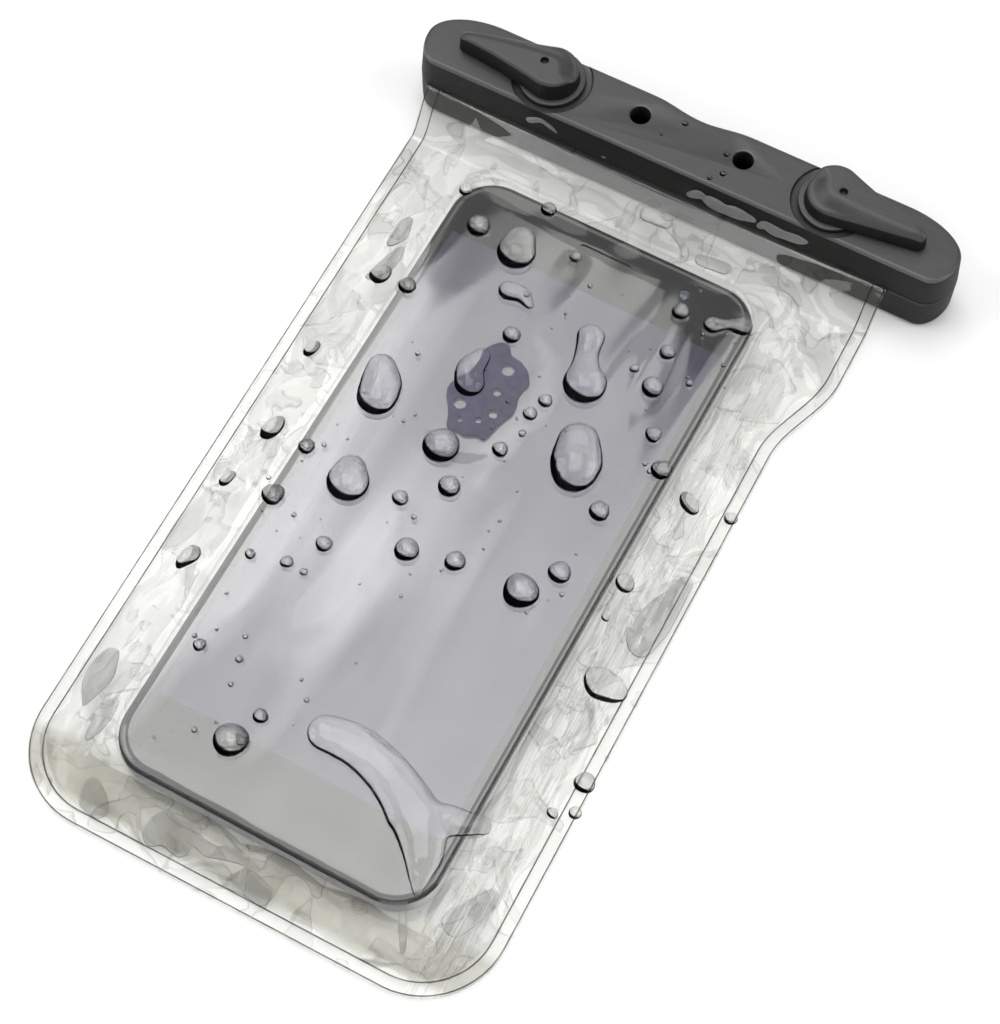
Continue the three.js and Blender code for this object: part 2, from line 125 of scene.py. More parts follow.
PHONE_TURN = math.radians(-0.6)
PHONE_CORNER = 9.5
PHONE_EDGE = 2.2
PHONE_FOOT = 0.7
PHONE_TOP = 8.2
GLASS_THICKNESS = 0.8
GLASS_SEAM = 0.3
SCREEN_SIDE_BORDER = 3.2
SCREEN_END_BORDER = 15.5
CUT = 2  # how far a cutter passes a face that it opens
PLAY = 0.3  # room that a moulding leaves round what it holds

WHITE = (1, 1, 1)
WATER_IOR = 1.33
FILM_TINT = (0.972, 0.973, 0.965)
FILM_HAZE = 0.012
CAMERA_AZIMUTH = 27.93


def mix(a, b, share):
    return a + (b - a) * share


def smooth_step(low, high, value):
    share = min(max((value - low) / (high - low), 0), 1)
    return share * share * (3 - 2 * share)


def arc(start, sweep, count):
    """Cosines and sines of evenly spaced angles, in degrees, with both ends."""
    angles = [math.radians(start + sweep * k / count) for k in range(count + 1)]
    return [(math.cos(a), math.sin(a)) for a in angles]


def place(point):
    return Vector((point[0], point[1] + ROW_SHIFT, point[2])) * MM


# Materials

class Nodes:
    """A material and the few node patterns that the materials here share."""

    def __init__(self, name):
        self.material = bpy.data.materials.new(name)
        self.material.use_nodes = True
        self.tree = self.material.node_tree
        self.tree.nodes.clear()
        self.output = self.add("ShaderNodeOutputMaterial")
        self.coordinates = self.add("ShaderNodeTexCoord").outputs["Object"]

    def add(self, kind, **inputs):
        node = self.tree.nodes.new(kind)
        for name, value in inputs.items():
            self.put(node, name.replace("_", " "), value)
        return node

    def put(self, node, where, value):
        socket = node.inputs[where]
        if isinstance(value, bpy.types.NodeSocket):
            self.tree.links.new(value, socket)
        elif socket.type == "RGBA":
            socket.default_value = (*value, 1)
        else:
            socket.default_value = value

    def noise(self, per_metre, detail=4, roughness=0.5, stretch=None, distortion=0):
        where = self.coordinates
        if stretch:
            mapping = self.add("ShaderNodeMapping", Vector=where, Scale=stretch)
            where = mapping.outputs["Vector"]
        node = self.add("ShaderNodeTexNoise", Vector=where, Scale=per_metre, Detail=detail,
                        Roughness=roughness, Distortion=distortion)
        return node.outputs["Fac"]

    def ramp(self, value, stops):
        """Maps a value to colours or greys; stops are (place, colour or grey)."""
        node = self.add("ShaderNodeValToRGB", Fac=value)
        elements = node.color_ramp.elements
        while len(elements) < len(stops):
            elements.new(0.5)
        for element, (at, colour) in zip(elements, stops):
            element.position = at
            grey = not isinstance(colour, tuple)
            element.color = (colour, colour, colour, 1) if grey else (*colour, 1)
        return node.outputs["Color"]

    def math(self, operation, a, b=0.0, clamp=False):
        node = self.add("ShaderNodeMath")
        node.operation = operation
        node.use_clamp = clamp
        self.put(node, 0, a)
        self.put(node, 1, b)
        return node.outputs[0]

    def times(self, *factors):
        product = factors[0]
        for factor in factors[1:]:
            product = self.math("MULTIPLY", product, factor)
        return product

    def rise(self, value, start, slope):
        """A ramp from 0 at start to 1; with a negative slope it falls from 1 to 0 at start."""
        return self.math("MULTIPLY", self.math("SUBTRACT", value, start), slope, clamp=True)

    def axis(self, letter, vector=None):
        parts = self.add("ShaderNodeSeparateXYZ", Vector=vector or self.coordinates)
        return parts.outputs[letter]

    def bump(self, height, distance, strength=1.0, normal=None):
        node = self.add("ShaderNodeBump", Height=height, Distance=distance, Strength=strength)
        if normal is not None:
            self.put(node, "Normal", normal)
        return node.outputs["Normal"]

    def blend(self, share, a, b):
        node = self.add("ShaderNodeMixShader")
        for index, value in enumerate((share, a, b)):
            self.put(node, index, value)
        return node.outputs[0]

    def mix_colour(self, share, a, b, kind="MIX"):
        node = self.add("ShaderNodeMix")
        node.data_type = "RGBA"
        node.blend_type = kind
        for name, value in (("Factor", share), ("A", a), ("B", b)):
            open_sockets = [k for k, s in enumerate(node.inputs) if s.name == name and s.enabled]
            self.put(node, open_sockets[0], value)
        return [s for s in node.outputs if s.enabled][0]

    def attribute(self, name, output):
        node = self.add("ShaderNodeAttribute")
        node.attribute_name = name
        return node.outputs[output]

    def clear(self, colour):
        return self.add("ShaderNodeBsdfTransparent", Color=colour).outputs[0]

    def shine(self, colour, rough, **inputs):
        return self.add("ShaderNodeBsdfGlossy", Color=colour, Roughness=rough, **inputs).outputs[0]

    def geometry(self, output):
        return self.add("ShaderNodeNewGeometry").outputs[output]

    def finish(self, surface):
        self.put(self.output, "Surface", surface)
        return self.material

    def finish_plain(self, **inputs):
        return self.finish(self.add("ShaderNodeBsdfPrincipled", **inputs).outputs[0])


def plastic_material(name, dark, light, smoothest, roughest, shine):
    """Charcoal moulded plastic: a fine grain, faint streaks and a few dust marks."""
    n = Nodes(name)
    grain = n.noise(5200, detail=2)
    streaks = n.noise(160, detail=5, stretch=(1, 9, 9))
    dust = n.ramp(n.noise(900, detail=3, roughness=0.6), [(0.7, 0.0), (0.78, 1.0)])
    base = n.ramp(streaks, [(0.3, dark), (0.75, light)])
    colour = n.mix_colour(n.math("MULTIPLY", dust, 0.07), base, (0.3, 0.29, 0.27))
    rough = n.ramp(streaks, [(0.25, smoothest), (0.8, roughest)])
    return n.finish_plain(Base_Color=colour, Roughness=rough, IOR=1.5, Specular_IOR_Level=shine,
                          Normal=n.bump(grain, 0.00002, 0.4))


def rubber_material():
    n = Nodes("seal_rubber")
    grain = n.noise(3000, detail=3)
    colour = n.ramp(grain, [(0.3, (0.03, 0.03, 0.032)), (0.8, (0.05, 0.05, 0.053))])
    return n.finish_plain(Base_Color=colour, Roughness=0.7, Normal=n.bump(grain, 0.00004))


def steel_material():
    n = Nodes("ring_steel")
    brushed = n.noise(900, detail=4, stretch=(1, 1, 14))
    colour = n.ramp(brushed, [(0.3, (0.45, 0.45, 0.45)), (0.8, (0.62, 0.61, 0.6))])
    rough = n.ramp(brushed, [(0.3, 0.28), (0.8, 0.42)])
    return n.finish_plain(Base_Color=colour, Roughness=rough, Metallic=1.0,
                          Normal=n.bump(brushed, 0.00002))


def beyond_box(n, half_x, half_y):
    """How far a point lies beyond a box about the phone's middle, in metres, in x and in y."""
    middle = place((PHONE_X, PHONE_Y, 0))
    moved = n.add("ShaderNodeMapping", Vector=n.coordinates, Location=(-middle.x, -middle.y, 0))
    turned = n.add("ShaderNodeMapping", Vector=moved.outputs[0], Rotation=(0, 0, -PHONE_TURN))
    return [n.math("SUBTRACT", n.math("ABSOLUTE", n.axis(letter, turned.outputs[0])), half * MM)
            for letter, half in (("X", half_x), ("Y", half_y))]


def phone_rim_distance(n):
    """Distance beyond the phone's rounded outline, in metres, negative inside it."""
    core = beyond_box(n, PHONE_WIDTH / 2 - PHONE_CORNER, PHONE_LENGTH / 2 - PHONE_CORNER)
    outside = [n.math("POWER", n.math("MAXIMUM", side, 0.0), 2.0) for side in core]
    reach = n.math("SQRT", n.math("ADD", *outside))
    within = n.math("MINIMUM", n.math("MAXIMUM", *core), 0.0)
    return n.math("SUBTRACT", n.math("ADD", reach, within), PHONE_CORNER * MM)


def fold_normal(n, rim_height):
    """Long soft folds down the phone, and the sharp ridge where the film leaves its edge."""
    folds_along = n.noise(36, detail=1, stretch=(1, 0.14, 1), distortion=0.35)
    soft = n.bump(folds_along, 0.0014)
    if not rim_height:
        return soft
    distance = n.math("ABSOLUTE", n.math("ADD", phone_rim_distance(n), 0.0001))
    ridge = n.math("SUBTRACT", 1.0, n.math("MULTIPLY", distance, 2200, clamp=True))
    return n.bump(ridge, rim_height, 1.0, soft)


def margin_pocket_shade(n):
    """Painted greys of flat pockets of water between the films: a thin dark outline, painted shade
    where the water bends the light away, and a paler inside.
    """
    pockets = n.noise(75, detail=2, roughness=0.45, distortion=0.9)
    stops = [(0.0, 1.0), (0.535, 1.0), (0.547, 0.8), (0.556, 0.96), (1.0, 0.93)]
    return n.ramp(pockets, stops)


def crease_shade_and_highlight(n, places, greys):
    """Painted shade and painted highlight of fine straight creases that run down the film beside
    the phone's right edge.
    """
    across = n.axis("X")
    share = n.times(n.rise(across, 0.031, 700), n.rise(across, 0.041, -500),
                    n.rise(n.axis("Y"), 0.062, -200))
    creases = n.ramp(n.noise(420, detail=1, stretch=(1, 0.008, 1)), list(zip(places, greys)))
    return n.mix_colour(share, (greys[0], greys[0], greys[0]), creases)


def film_material(name, gloss):
    """Clear soft film: it lets light through with a faint warm tint and mirrors at its face.

    Light that a matt surface sends back through it meets the tint alone, which renders faster.
    """
    n = Nodes(name)
    cloud = n.noise(55, detail=5, roughness=0.55, distortion=0.6)
    colour = n.ramp(cloud, [(0.3, tuple(0.97 * c for c in FILM_TINT)), (0.7, FILM_TINT)])
    along = n.axis("Y")
    patchy = n.ramp(n.noise(90, detail=3), [(0.35, 0.5), (0.65, 1.0)])
    # Painted shadow of the phone: a darker, duller tint in patches on the film in a band below its
    # bottom edge.
    phone_shadow_share = n.times(n.rise(along, -0.0805, -400), n.rise(along, -0.0925, 500), patchy)
    phone_shadow_tint = tuple(c * d for c, d in zip(FILM_TINT, (0.84, 0.835, 0.81)))
    colour = n.mix_colour(phone_shadow_share, colour, phone_shadow_tint)
    unwelded = n.math("SUBTRACT", 1.0, n.attribute("weld", "Fac"))
    inside = n.times(unwelded, n.rise(phone_rim_distance(n), 0.0, 1500))
    # The film's tint in the margin takes the painted shade of the water pockets and of the creases.
    for grey in (margin_pocket_shade(n), crease_shade_and_highlight(n, (0.48, 0.5, 0.52), (1.0, 0.82, 1.0))):
        colour = n.mix_colour(inside, colour, grey, "MULTIPLY")
    # A white diffuse layer: the film's faint haze everywhere, and a painted highlight along the
    # creases.
    haze_and_crease_highlight = n.add("ShaderNodeBsdfDiffuse", Color=(0.86, 0.87, 0.83), Roughness=0.5)
    shining = crease_shade_and_highlight(n, (0.60, 0.62, 0.64), (0.0, 0.4, 0.0))
    haze_and_highlight = n.math("ADD", shining, FILM_HAZE, clamp=True)
    body = n.blend(haze_and_highlight, n.clear(colour), haze_and_crease_highlight.outputs[0])
    ripple = fold_normal(n, 0.0003)
    fresnel = n.add("ShaderNodeFresnel", IOR=1.5, Normal=ripple).outputs[0]
    front = n.math("SUBTRACT", 1.0, n.geometry("Backfacing"))
    share = n.math("MULTIPLY", n.times(fresnel, gloss), front, clamp=True)
    shown = n.blend(share, body, n.shine(WHITE, 0.045, Normal=ripple))
    unseen = n.add("ShaderNodeLightPath").outputs["Is Diffuse Ray"]
    return n.finish(n.blend(unseen, shown, n.clear(FILM_TINT)))


def weld_material():
    """The welded lines at the film's edge: clear, but dark where they bend the light away."""
    n = Nodes("film_weld")
    patches = n.ramp(n.noise(260, detail=4), [(0.35, (0.3, 0.31, 0.27)), (0.7, (0.62, 0.63, 0.57))])
    fresnel = n.add("ShaderNodeFresnel", IOR=1.5).outputs[0]
    return n.finish(n.blend(fresnel, n.clear(patches), n.shine(WHITE, 0.1)))


def water_material(name, clear_share, crescent, dim):
    """Water whose steep rim bends the light away: a dark outline, broader on the shaded side.

    The meshes store the dome's own normal, so that a drop on a slope has the same rim.
    """
    n = Nodes(name)
    dome = n.attribute("dome", "Vector")
    shaded = n.math("ADD", n.times(n.axis("X", dome), -0.29), n.times(n.axis("Y", dome), -0.956))
    shaded = n.math("MAXIMUM", n.math("SUBTRACT", shaded, 0.1), 0.0)
    flatness = n.math("ABSOLUTE", n.axis("Z", dome))
    level = n.math("SUBTRACT", flatness, n.times(shaded, crescent))
    down = n.axis("Z", n.geometry("True Normal"))
    base = n.math("MAXIMUM", n.geometry("Backfacing"), n.math("LESS_THAN", down, -0.4))
    rim = n.math("MAXIMUM", n.ramp(level, [(0.0, dim), (0.42, dim), (0.54, 0.98)]), base)
    glass = n.add("ShaderNodeBsdfRefraction", Color=rim, Roughness=0.0, IOR=WATER_IOR)
    fresnel = n.add("ShaderNodeFresnel", IOR=WATER_IOR).outputs[0]
    share = n.times(fresnel, n.math("SUBTRACT", 1.0, base))
    body = n.blend(clear_share, glass.outputs[0], n.clear(rim))
    return n.finish(n.blend(share, body, n.shine(rim, 0.0)))


def wet_layer_painted_tone(name, colour, rough, shine):
    """A thin layer of water on or under a surface, which only changes its tone; that tone is
    painted: a lighter painted reflection on the clamp's wall, a darker painted shade on the phone's
    glass.
    """
    n = Nodes(name)
    cloud = n.noise(400, detail=4, roughness=0.6)
    tone = n.ramp(cloud, [(0.3, tuple(0.75 * c for c in colour)), (0.75, colour)])
    return n.finish_plain(Base_Color=tone, Roughness=rough, Specular_IOR_Level=shine)


def glass_material():
    """Black phone glass: a darker border round a lit-looking lilac display, with faint smears."""
    n = Nodes("phone_glass_dark")
    sides = beyond_box(n, PHONE_WIDTH / 2 - SCREEN_SIDE_BORDER,
                       PHONE_LENGTH / 2 - SCREEN_END_BORDER)
    display = n.times(*(n.rise(side, 0.0, -2500) for side in sides))
    smears = n.noise(70, detail=5, stretch=(1, 0.35, 1), distortion=1.2)
    screen = n.ramp(smears, [(0.3, (0.040, 0.036, 0.066)), (0.75, (0.062, 0.057, 0.094))])
    colour = n.mix_colour(display, (0.012, 0.012, 0.013), screen)
    rough = n.ramp(smears, [(0.35, 0.03), (0.8, 0.09)])
    return n.finish_plain(Base_Color=colour, Roughness=rough, IOR=1.85, Normal=fold_normal(n, 0))


def shell_material():
    n = Nodes("phone_shell_metal")
    grain = n.noise(2600, detail=3)
    side = n.math("ABSOLUTE", n.axis("X", n.geometry("Normal")))
    below_seam = n.rise(n.axis("Z"), 0.0068, -6000)
    bright = n.times(n.ramp(side, [(0.6, 0.0), (0.95, 1.0)]), below_seam)
    colour = n.mix_colour(bright, (0.008, 0.008, 0.009), (0.5, 0.5, 0.49))
    rough = n.ramp(grain, [(0.3, 0.3), (0.8, 0.4)])
    return n.finish_plain(Base_Color=colour, Roughness=rough, Metallic=bright,
                          Specular_IOR_Level=0.15, Normal=n.bump(grain, 0.00002))


def lens_material():
    n = Nodes("camera_lens")
    colour = n.ramp(n.noise(2400, detail=2), [(0.3, (0.02, 0.03, 0.05)), (0.8, (0.10, 0.12, 0.15))])
    return n.finish_plain(Base_Color=colour, Roughness=0.08, IOR=1.6)


def floor_material():
    n = Nodes("pale_floor")
    colour = n.ramp(n.noise(3, detail=2), [(0.3, 0.955), (0.7, 0.965)])
    return n.finish(n.add("ShaderNodeBsdfDiffuse", Color=colour).outputs[0])


# Meshes

def add_piece(name, points, faces, material, body=None, slot=None, smooth=35):
    mesh = bpy.data.meshes.new(name)
    mesh.from_pydata([place(p) for p in points], [], faces)
    return finish_piece(name, mesh, material, body, smooth)


def finish_piece(name, mesh, material, body=None, smooth=35):
    mesh.materials.clear()
    mesh.materials.append(material)
    piece = bpy.data.objects.new(name, mesh)
    bpy.context.scene.collection.objects.link(piece)
    if smooth:
        mesh.polygons.foreach_set("use_smooth", [True] * len(mesh.polygons))
        if smooth < 180:
            mesh.set_sharp_from_angle(angle=math.radians(smooth))
    if body:
        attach(piece, body)
    return piece


def add_clear_piece(name, mesh, material, body):
    """Water casts no shadow: what it takes from the light is in its own tone."""
    finish_piece(name, mesh, material, body, 180).visible_shadow = False


def stack(rings):
    """Points and faces of a closed solid of stacked rings, each counterclockwise from above."""
    count = len(rings[0])
    points = [p for ring in rings for p in ring]
    faces = []
    for k in range(len(rings) - 1):
        low = k * count
        high = low + count
        for i in range(count):
            j = (i + 1) % count
            faces.append((low + i, low + j, high + j, high + i))
    faces.append(tuple(reversed(range(count))))
    top = (len(rings) - 1) * count
    faces.append(tuple(range(top, top + count)))
    return points, faces


def layers(outline, levels):
    """A closed solid of outlines one above the other; levels lists their inset and height."""
    return stack([[(x, y, z) for x, y in outline(inset)] for inset, z in levels])


def turned(profile, x, y, steps=96):
    """Points and faces of a turned solid; the profile lists radius and height from foot to top."""
    circle = arc(0, 360, steps)[:-1]
    return stack([[(x + radius * cos, y + radius * sin, z) for cos, sin in circle]
                  for radius, z in profile])


def spin(points, angle, x, y):
    """Turns points about the z axis, then moves them to x, y."""
    cos, sin = math.cos(angle), math.sin(angle)
    return [(x + px * cos - py * sin, y + px * sin + py * cos, z) for px, py, z in points]


def block(x0, x1, y0, y1, z0, z1):
    rings = [[(x0, y0, z), (x1, y0, z), (x1, y1, z), (x0, y1, z)] for z in (z0, z1)]
    return stack(rings)


def combine(base, others, operation):
    """The mesh of a solid after other solids are cut from it or joined to it."""
    target = add_piece("combine_base", *base, None)
    made = [target]
    for index, solid in enumerate(others):
        other = add_piece(f"combine_{index}", *solid, None)
        made.append(other)
        modifier = target.modifiers.new("combine", "BOOLEAN")
        modifier.operation = operation
        modifier.solver = "EXACT"
        modifier.object = other
    shapes = bpy.context.evaluated_depsgraph_get()
    result = bpy.data.meshes.new_from_object(target.evaluated_get(shapes))
    for piece in made:
        bpy.data.objects.remove(piece)
    points = [(v.co.x / MM, v.co.y / MM - ROW_SHIFT, v.co.z / MM) for v in result.vertices]
    return points, [tuple(p.vertices) for p in result.polygons]


def clamp_outline(inset, corner_steps=18, shoulder_steps=30, scoop_steps=40):
    half = CLAMP_LENGTH / 2
    near = NEAR_WALL + inset
    far = FAR_WALL - inset
    points = []

    def quarter(side, length, depth, start, count, last):
        for cos, sin in arc(start, 90, count)[:count + last]:
            x = side * (half - length) + (length - inset) * cos
            points.append((x, END_TIP + depth * sin))

    quarter(1, CORNER_LENGTH, END_TIP - near, -90, corner_steps, 0)
    quarter(1, SHOULDER_LENGTH, far - END_TIP, 0, shoulder_steps, 1)
    for k in range(scoop_steps + 1):
        x = SCOOP_LENGTH * (0.5 - k / scoop_steps)
        dip = (1 + math.cos(2 * math.pi * x / SCOOP_LENGTH)) / 2
        points.append((x, far - SCOOP_DEPTH * dip))
    quarter(-1, SHOULDER_LENGTH, far - END_TIP, 90, shoulder_steps, 0)
    quarter(-1, CORNER_LENGTH, END_TIP - near, 180, corner_steps, 1)
    return points


def flared_hole(radius, x, y, low, high, flare=0.35):
    """A cutter for a round hole whose rims at low and high are slightly rounded."""
    rim = [(flare + CUT, -CUT), (flare, 0), (0.3 * flare, 0.3 * flare), (0, flare)]
    foot = [(radius + out, low + up) for out, up in rim]
    return turned(foot + [(radius + out, high - up) for out, up in reversed(rim)], x, y)


def matt_shaded_walls(piece, shaded_wall_material, edge_highlight_material=None):
    """The walls of a moulding are matt and take a darker plastic, painted shade; its faces are
    satin; its near top edge can be smoother and lighter, a painted highlight.
    """
    piece.data.materials.append(shaded_wall_material)
    if edge_highlight_material:
        piece.data.materials.append(edge_highlight_material)
    for face in piece.data.polygons:
        if face.normal.z < 0.35:
            face.material_index = 1
        elif edge_highlight_material and face.normal.z < 0.97 and face.normal.y < -0.2:
            face.material_index = 2


def film_room(low, high, groove_low, groove_high):
    """Cutters for the gap that holds the film's mouth, and for the seal's groove."""
    gap = (NEAR_WALL - CUT, MOUTH_EDGE + PLAY, low, high)
    groove = (GROOVE_NEAR, GROOVE_FAR, groove_low, groove_high)
    return [block(-FILM_LEFT - PLAY, FILM_RIGHT + PLAY, *sides) for sides in (gap, groove)]


def add_back_bar(material, shaded_wall_material):
    levels = [(FOOT_BEVEL * (1 - sin), 1.4 * FOOT_BEVEL * (1 - cos)) for cos, sin in arc(0, 90, 6)]
    levels += [(0, BACK_BAR_TOP - PARTING_BEVEL), (PARTING_BEVEL, BACK_BAR_TOP)]
    posts = [turned([
        (POST_RADIUS, BACK_BAR_TOP - CUT),
        (POST_RADIUS, POST_TOP - 0.5),
        (POST_RADIUS - 0.15, POST_TOP - 0.15),
        (POST_RADIUS - 0.5, POST_TOP),
    ], side * PIVOT_X, PIVOT_Y) for side in (-1, 1)]
    solid = combine(layers(clamp_outline, levels), posts, "UNION")
    holes = [flared_hole(LANYARD_HOLE_RADIUS, side * LANYARD_HOLE_X, 0, 0, BACK_BAR_TOP)
             for side in (-1, 1)]
    room = film_room(BACK_MOUTH - PLAY, FRONT_BAR_FOOT, GROOVE_FLOOR, FRONT_BAR_FOOT)
    solid = combine(solid, holes + room, "DIFFERENCE")
    piece = add_piece("back_bar_moulding", *solid, material, "pouch", "bar_plastic", smooth=40)
    matt_shaded_walls(piece, shaded_wall_material)
    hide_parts("back_bar")


def add_front_bar(material, shaded_wall_material, edge_highlight_material):
    levels = [(PARTING_BEVEL, FRONT_BAR_FOOT), (0, FRONT_BAR_FOOT + PARTING_BEVEL)]
    for cos, sin in arc(0, 90, 9):
        inset = WALL_DRAFT + EDGE_ROUNDING * (1 - cos)
        levels.append((inset, CLAMP_TOP - EDGE_ROUNDING * (1 - sin)))
    cutters = []
    for side in (-1, 1):
        x = side * PIVOT_X
        cutters.append(turned([
            (DISH_RADIUS - 0.45, DISH_FLOOR),
            (DISH_RADIUS - 0.12, DISH_FLOOR + 0.12),
            (DISH_RADIUS, DISH_FLOOR + 0.4),
            (DISH_RADIUS + 0.04, CLAMP_TOP - 0.16),
            (DISH_RADIUS + 0.2, CLAMP_TOP),
            (DISH_RADIUS + 0.5, CLAMP_TOP + CUT),
        ], x, PIVOT_Y))
        for radius, ceiling in ((SLEEVE_RADIUS, CLAMP_TOP + CUT), (RING_RADIUS, RING_CEILING)):
            bore = [(radius + PLAY, FRONT_BAR_FOOT - CUT), (radius + PLAY, ceiling)]
            cutters.append(turned(bore, x, PIVOT_Y))
        cutters.append(flared_hole(LANYARD_HOLE_RADIUS, side * LANYARD_HOLE_X, 0,
                                   FRONT_BAR_FOOT, CLAMP_TOP))
    cutters += film_room(BACK_BAR_TOP, FRONT_MOUTH + FILM + PLAY, BACK_BAR_TOP, GROOVE_CEILING)
    solid = combine(layers(clamp_outline, levels), cutters, "DIFFERENCE")
    piece = add_piece("front_bar_moulding", *solid, material, "front_bar", "bar_plastic", smooth=40)
    matt_shaded_walls(piece, shaded_wall_material, edge_highlight_material)
    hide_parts("front_bar")


# Levers, about their axis, with the tail along +x

def lever_outline(grow):
    hub = HUB_RADIUS + grow
    tip = TIP_RADIUS + grow
    touch = math.acos((hub - tip) / TAIL_REACH)
    points = []

    def round_end(middle, radius, start, sweep, count):
        for cos, sin in arc(math.degrees(start), math.degrees(sweep), count):
            points.append((middle + radius * cos, radius * sin))

    def side(sign, ends, bow, count=40):
        (x0, r0), (x1, r1) = ends
        start = (x0 + r0 * math.cos(touch), sign * r0 * math.sin(touch))
        end = (x1 + r1 * math.cos(touch), sign * r1 * math.sin(touch))
        for k in range(1, count):
            share = k / count
            y = mix(start[1], end[1], share) - bow * math.sin(math.pi * share)
            points.append((mix(start[0], end[0], share), y))

    round_end(0, hub, touch, 2 * (math.pi - touch), 72)
    side(-1, ((0, hub), (TAIL_REACH, tip)), 0)
    round_end(TAIL_REACH, tip, -touch, 2 * touch, 20)
    side(1, ((TAIL_REACH, tip), (0, hub)), TAIL_WAIST)
    return points


def lever_height(x, y):
    """A plane that falls towards the tip, with a hollow flank below a crest."""
    along = max(x, 0) / TAIL_REACH
    plane = LEVER_TOP - TAIL_FALL * along
    crest = mix(-CREST_OFFSET, 0, along ** 2)
    beside = max(crest - y + CREST_ROUNDING, 0)
    behind = max(-CREST_SETBACK - x + CREST_ROUNDING, 0) * smooth_step(-HUB_RADIUS, 0, -y)
    past = math.hypot(beside, behind) - CREST_ROUNDING
    share = min(max((past + 0.5) / (FLANK_WIDTH + 0.5), 0), 1) ** 2
    return plane - FLANK_DEPTH * share * (2 - share)


def add_lever(label, side, material, shaded_wall_material):
    rim = lever_outline(0)
    rings = [[(x, y, LEVER_FOOT) for x, y in lever_outline(HUB_FLARE)]]
    rim_share = 0.86
    shares = [mix(1, rim_share, 1 - cos) for cos, sin in arc(0, 90, 10)]
    shares += [rim_share - 0.02 * k for k in range(1, 42)]
    for share in shares:
        near_rim = max(0, (share - rim_share) / (1 - rim_share))
        drop = RIM_DROP * (1 - math.sqrt(max(1 - near_rim ** 2, 0)))
        ring = []
        for x, y in rim:
            ring.append((x * share, y * share, lever_height(x * share, y * share) - drop))
        rings.append(ring)
    stem = turned([
        (SLEEVE_RADIUS, SLEEVE_FOOT), (SLEEVE_RADIUS, 10.6), (SLEEVE_RADIUS - 0.4, 10.6),
        (SLEEVE_RADIUS - 0.4, 12), (SLEEVE_RADIUS, 12), (SLEEVE_RADIUS, FLANGE_FOOT),
        (FLANGE_RADIUS - 0.1, FLANGE_FOOT), (FLANGE_RADIUS, FLANGE_FOOT + 0.1),
        (FLANGE_RADIUS, LEVER_FOOT - 0.3), (FLANGE_RADIUS - 0.09, LEVER_FOOT - 0.09),
        (FLANGE_RADIUS - 0.3, LEVER_FOOT), (HUB_RADIUS - 0.3, LEVER_FOOT + 0.001),
        (HUB_RADIUS - 0.3, LEVER_FOOT + 0.3),
    ], 0, 0)
    solid = combine(stack(rings), [stem], "UNION")
    bore = turned([(SLEEVE_BORE, SLEEVE_FOOT - CUT), (SLEEVE_BORE, POST_TOP + PLAY)], 0, 0)
    pin = turned([
        (PIN_HOLE_RADIUS - 0.2, LEVER_TOP - PIN_HOLE_DEPTH),
        (PIN_HOLE_RADIUS, LEVER_TOP - PIN_HOLE_DEPTH + 0.2),
        (PIN_HOLE_RADIUS, LEVER_TOP - 0.25),
        (PIN_HOLE_RADIUS + 0.2, LEVER_TOP + 0.02),
        (PIN_HOLE_RADIUS + 0.4, LEVER_TOP + CUT),
    ], PIN_HOLE_OFFSET, 0, steps=48)
    points, faces = combine(solid, [bore, pin], "DIFFERENCE")
    turn = -LOCK_TURN if side > 0 else math.pi + LOCK_TURN
    points = spin(points, turn, side * PIVOT_X, PIVOT_Y)
    body = f"{label}_lever"
    piece = add_piece(body + "_moulding", points, faces, material, body, "lever_plastic", 30)
    matt_shaded_walls(piece, shaded_wall_material)
    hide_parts(body)


# Film

def right_edge(y):
    drawn = smooth_step(DRAW_IN_START, DRAW_IN_START + DRAW_IN_LENGTH, -y)
    return FILM_RIGHT - FILM_DRAW_IN * drawn


def corner_inset(y):
    rest = max(POUCH_CORNER - (y + POUCH_DROP), 0)
    return POUCH_CORNER - math.sqrt(max(POUCH_CORNER ** 2 - rest ** 2, 0))


def edge_distance(x, y):
    side = min(x + FILM_LEFT, right_edge(y) - x)
    bottom = y + POUCH_DROP
    if side < POUCH_CORNER and bottom < POUCH_CORNER:
        return POUCH_CORNER - math.hypot(POUCH_CORNER - side, POUCH_CORNER - bottom)
    return min(side, bottom)


def phone_place(x, y):
    """A point about the phone's middle, in the phone's own directions."""
    dx, dy = x - PHONE_X, y - PHONE_Y
    cos, sin = math.cos(PHONE_TURN), math.sin(PHONE_TURN)
    return dx * cos + dy * sin, dy * cos - dx * sin


def phone_distance(x, y):
    u, v = phone_place(x, y)
    du = abs(u) - PHONE_WIDTH / 2 - FILM_BRIDGE
    dv = abs(v) - PHONE_LENGTH / 2 - FILM_BRIDGE
    return math.hypot(max(du, 0), max(dv, 0))


def puckers(x, y):
    return 0.6 * math.sin(0.37 * y + 0.3 * x) + 0.4 * math.sin(0.23 * y - 0.41 * x + 1)


def climb(y):
    return smooth_step(CLIMB_START, CLIMB_END, y)


def contact(x, y):
    """1 where water draws the film down on to the glass, 0 elsewhere."""
    return smooth_step(1.7, 1.2, math.hypot((x + 12) / 7.4, (y + ROW_SHIFT - 20) / 11.4))


def crown(x, y):
    """How far the film stands off the phone's glass: a low swell that ends near its sides."""
    u, v = phone_place(x, y)
    in_u = smooth_step(0, 9, PHONE_WIDTH / 2 + 1 - abs(u))
    in_v = smooth_step(0, 7 + 3 * math.cos(u / 14), PHONE_LENGTH / 2 + 1 - abs(v))
    waves = 0.30 * noise.noise((u * 0.055, v * 0.018, 1.7))
    waves += 0.1 * noise.noise((u * 0.12, v * 0.05, 4.2))
    return in_u * in_v * max(0.34 + waves, 0) * (1 - contact(x, y))


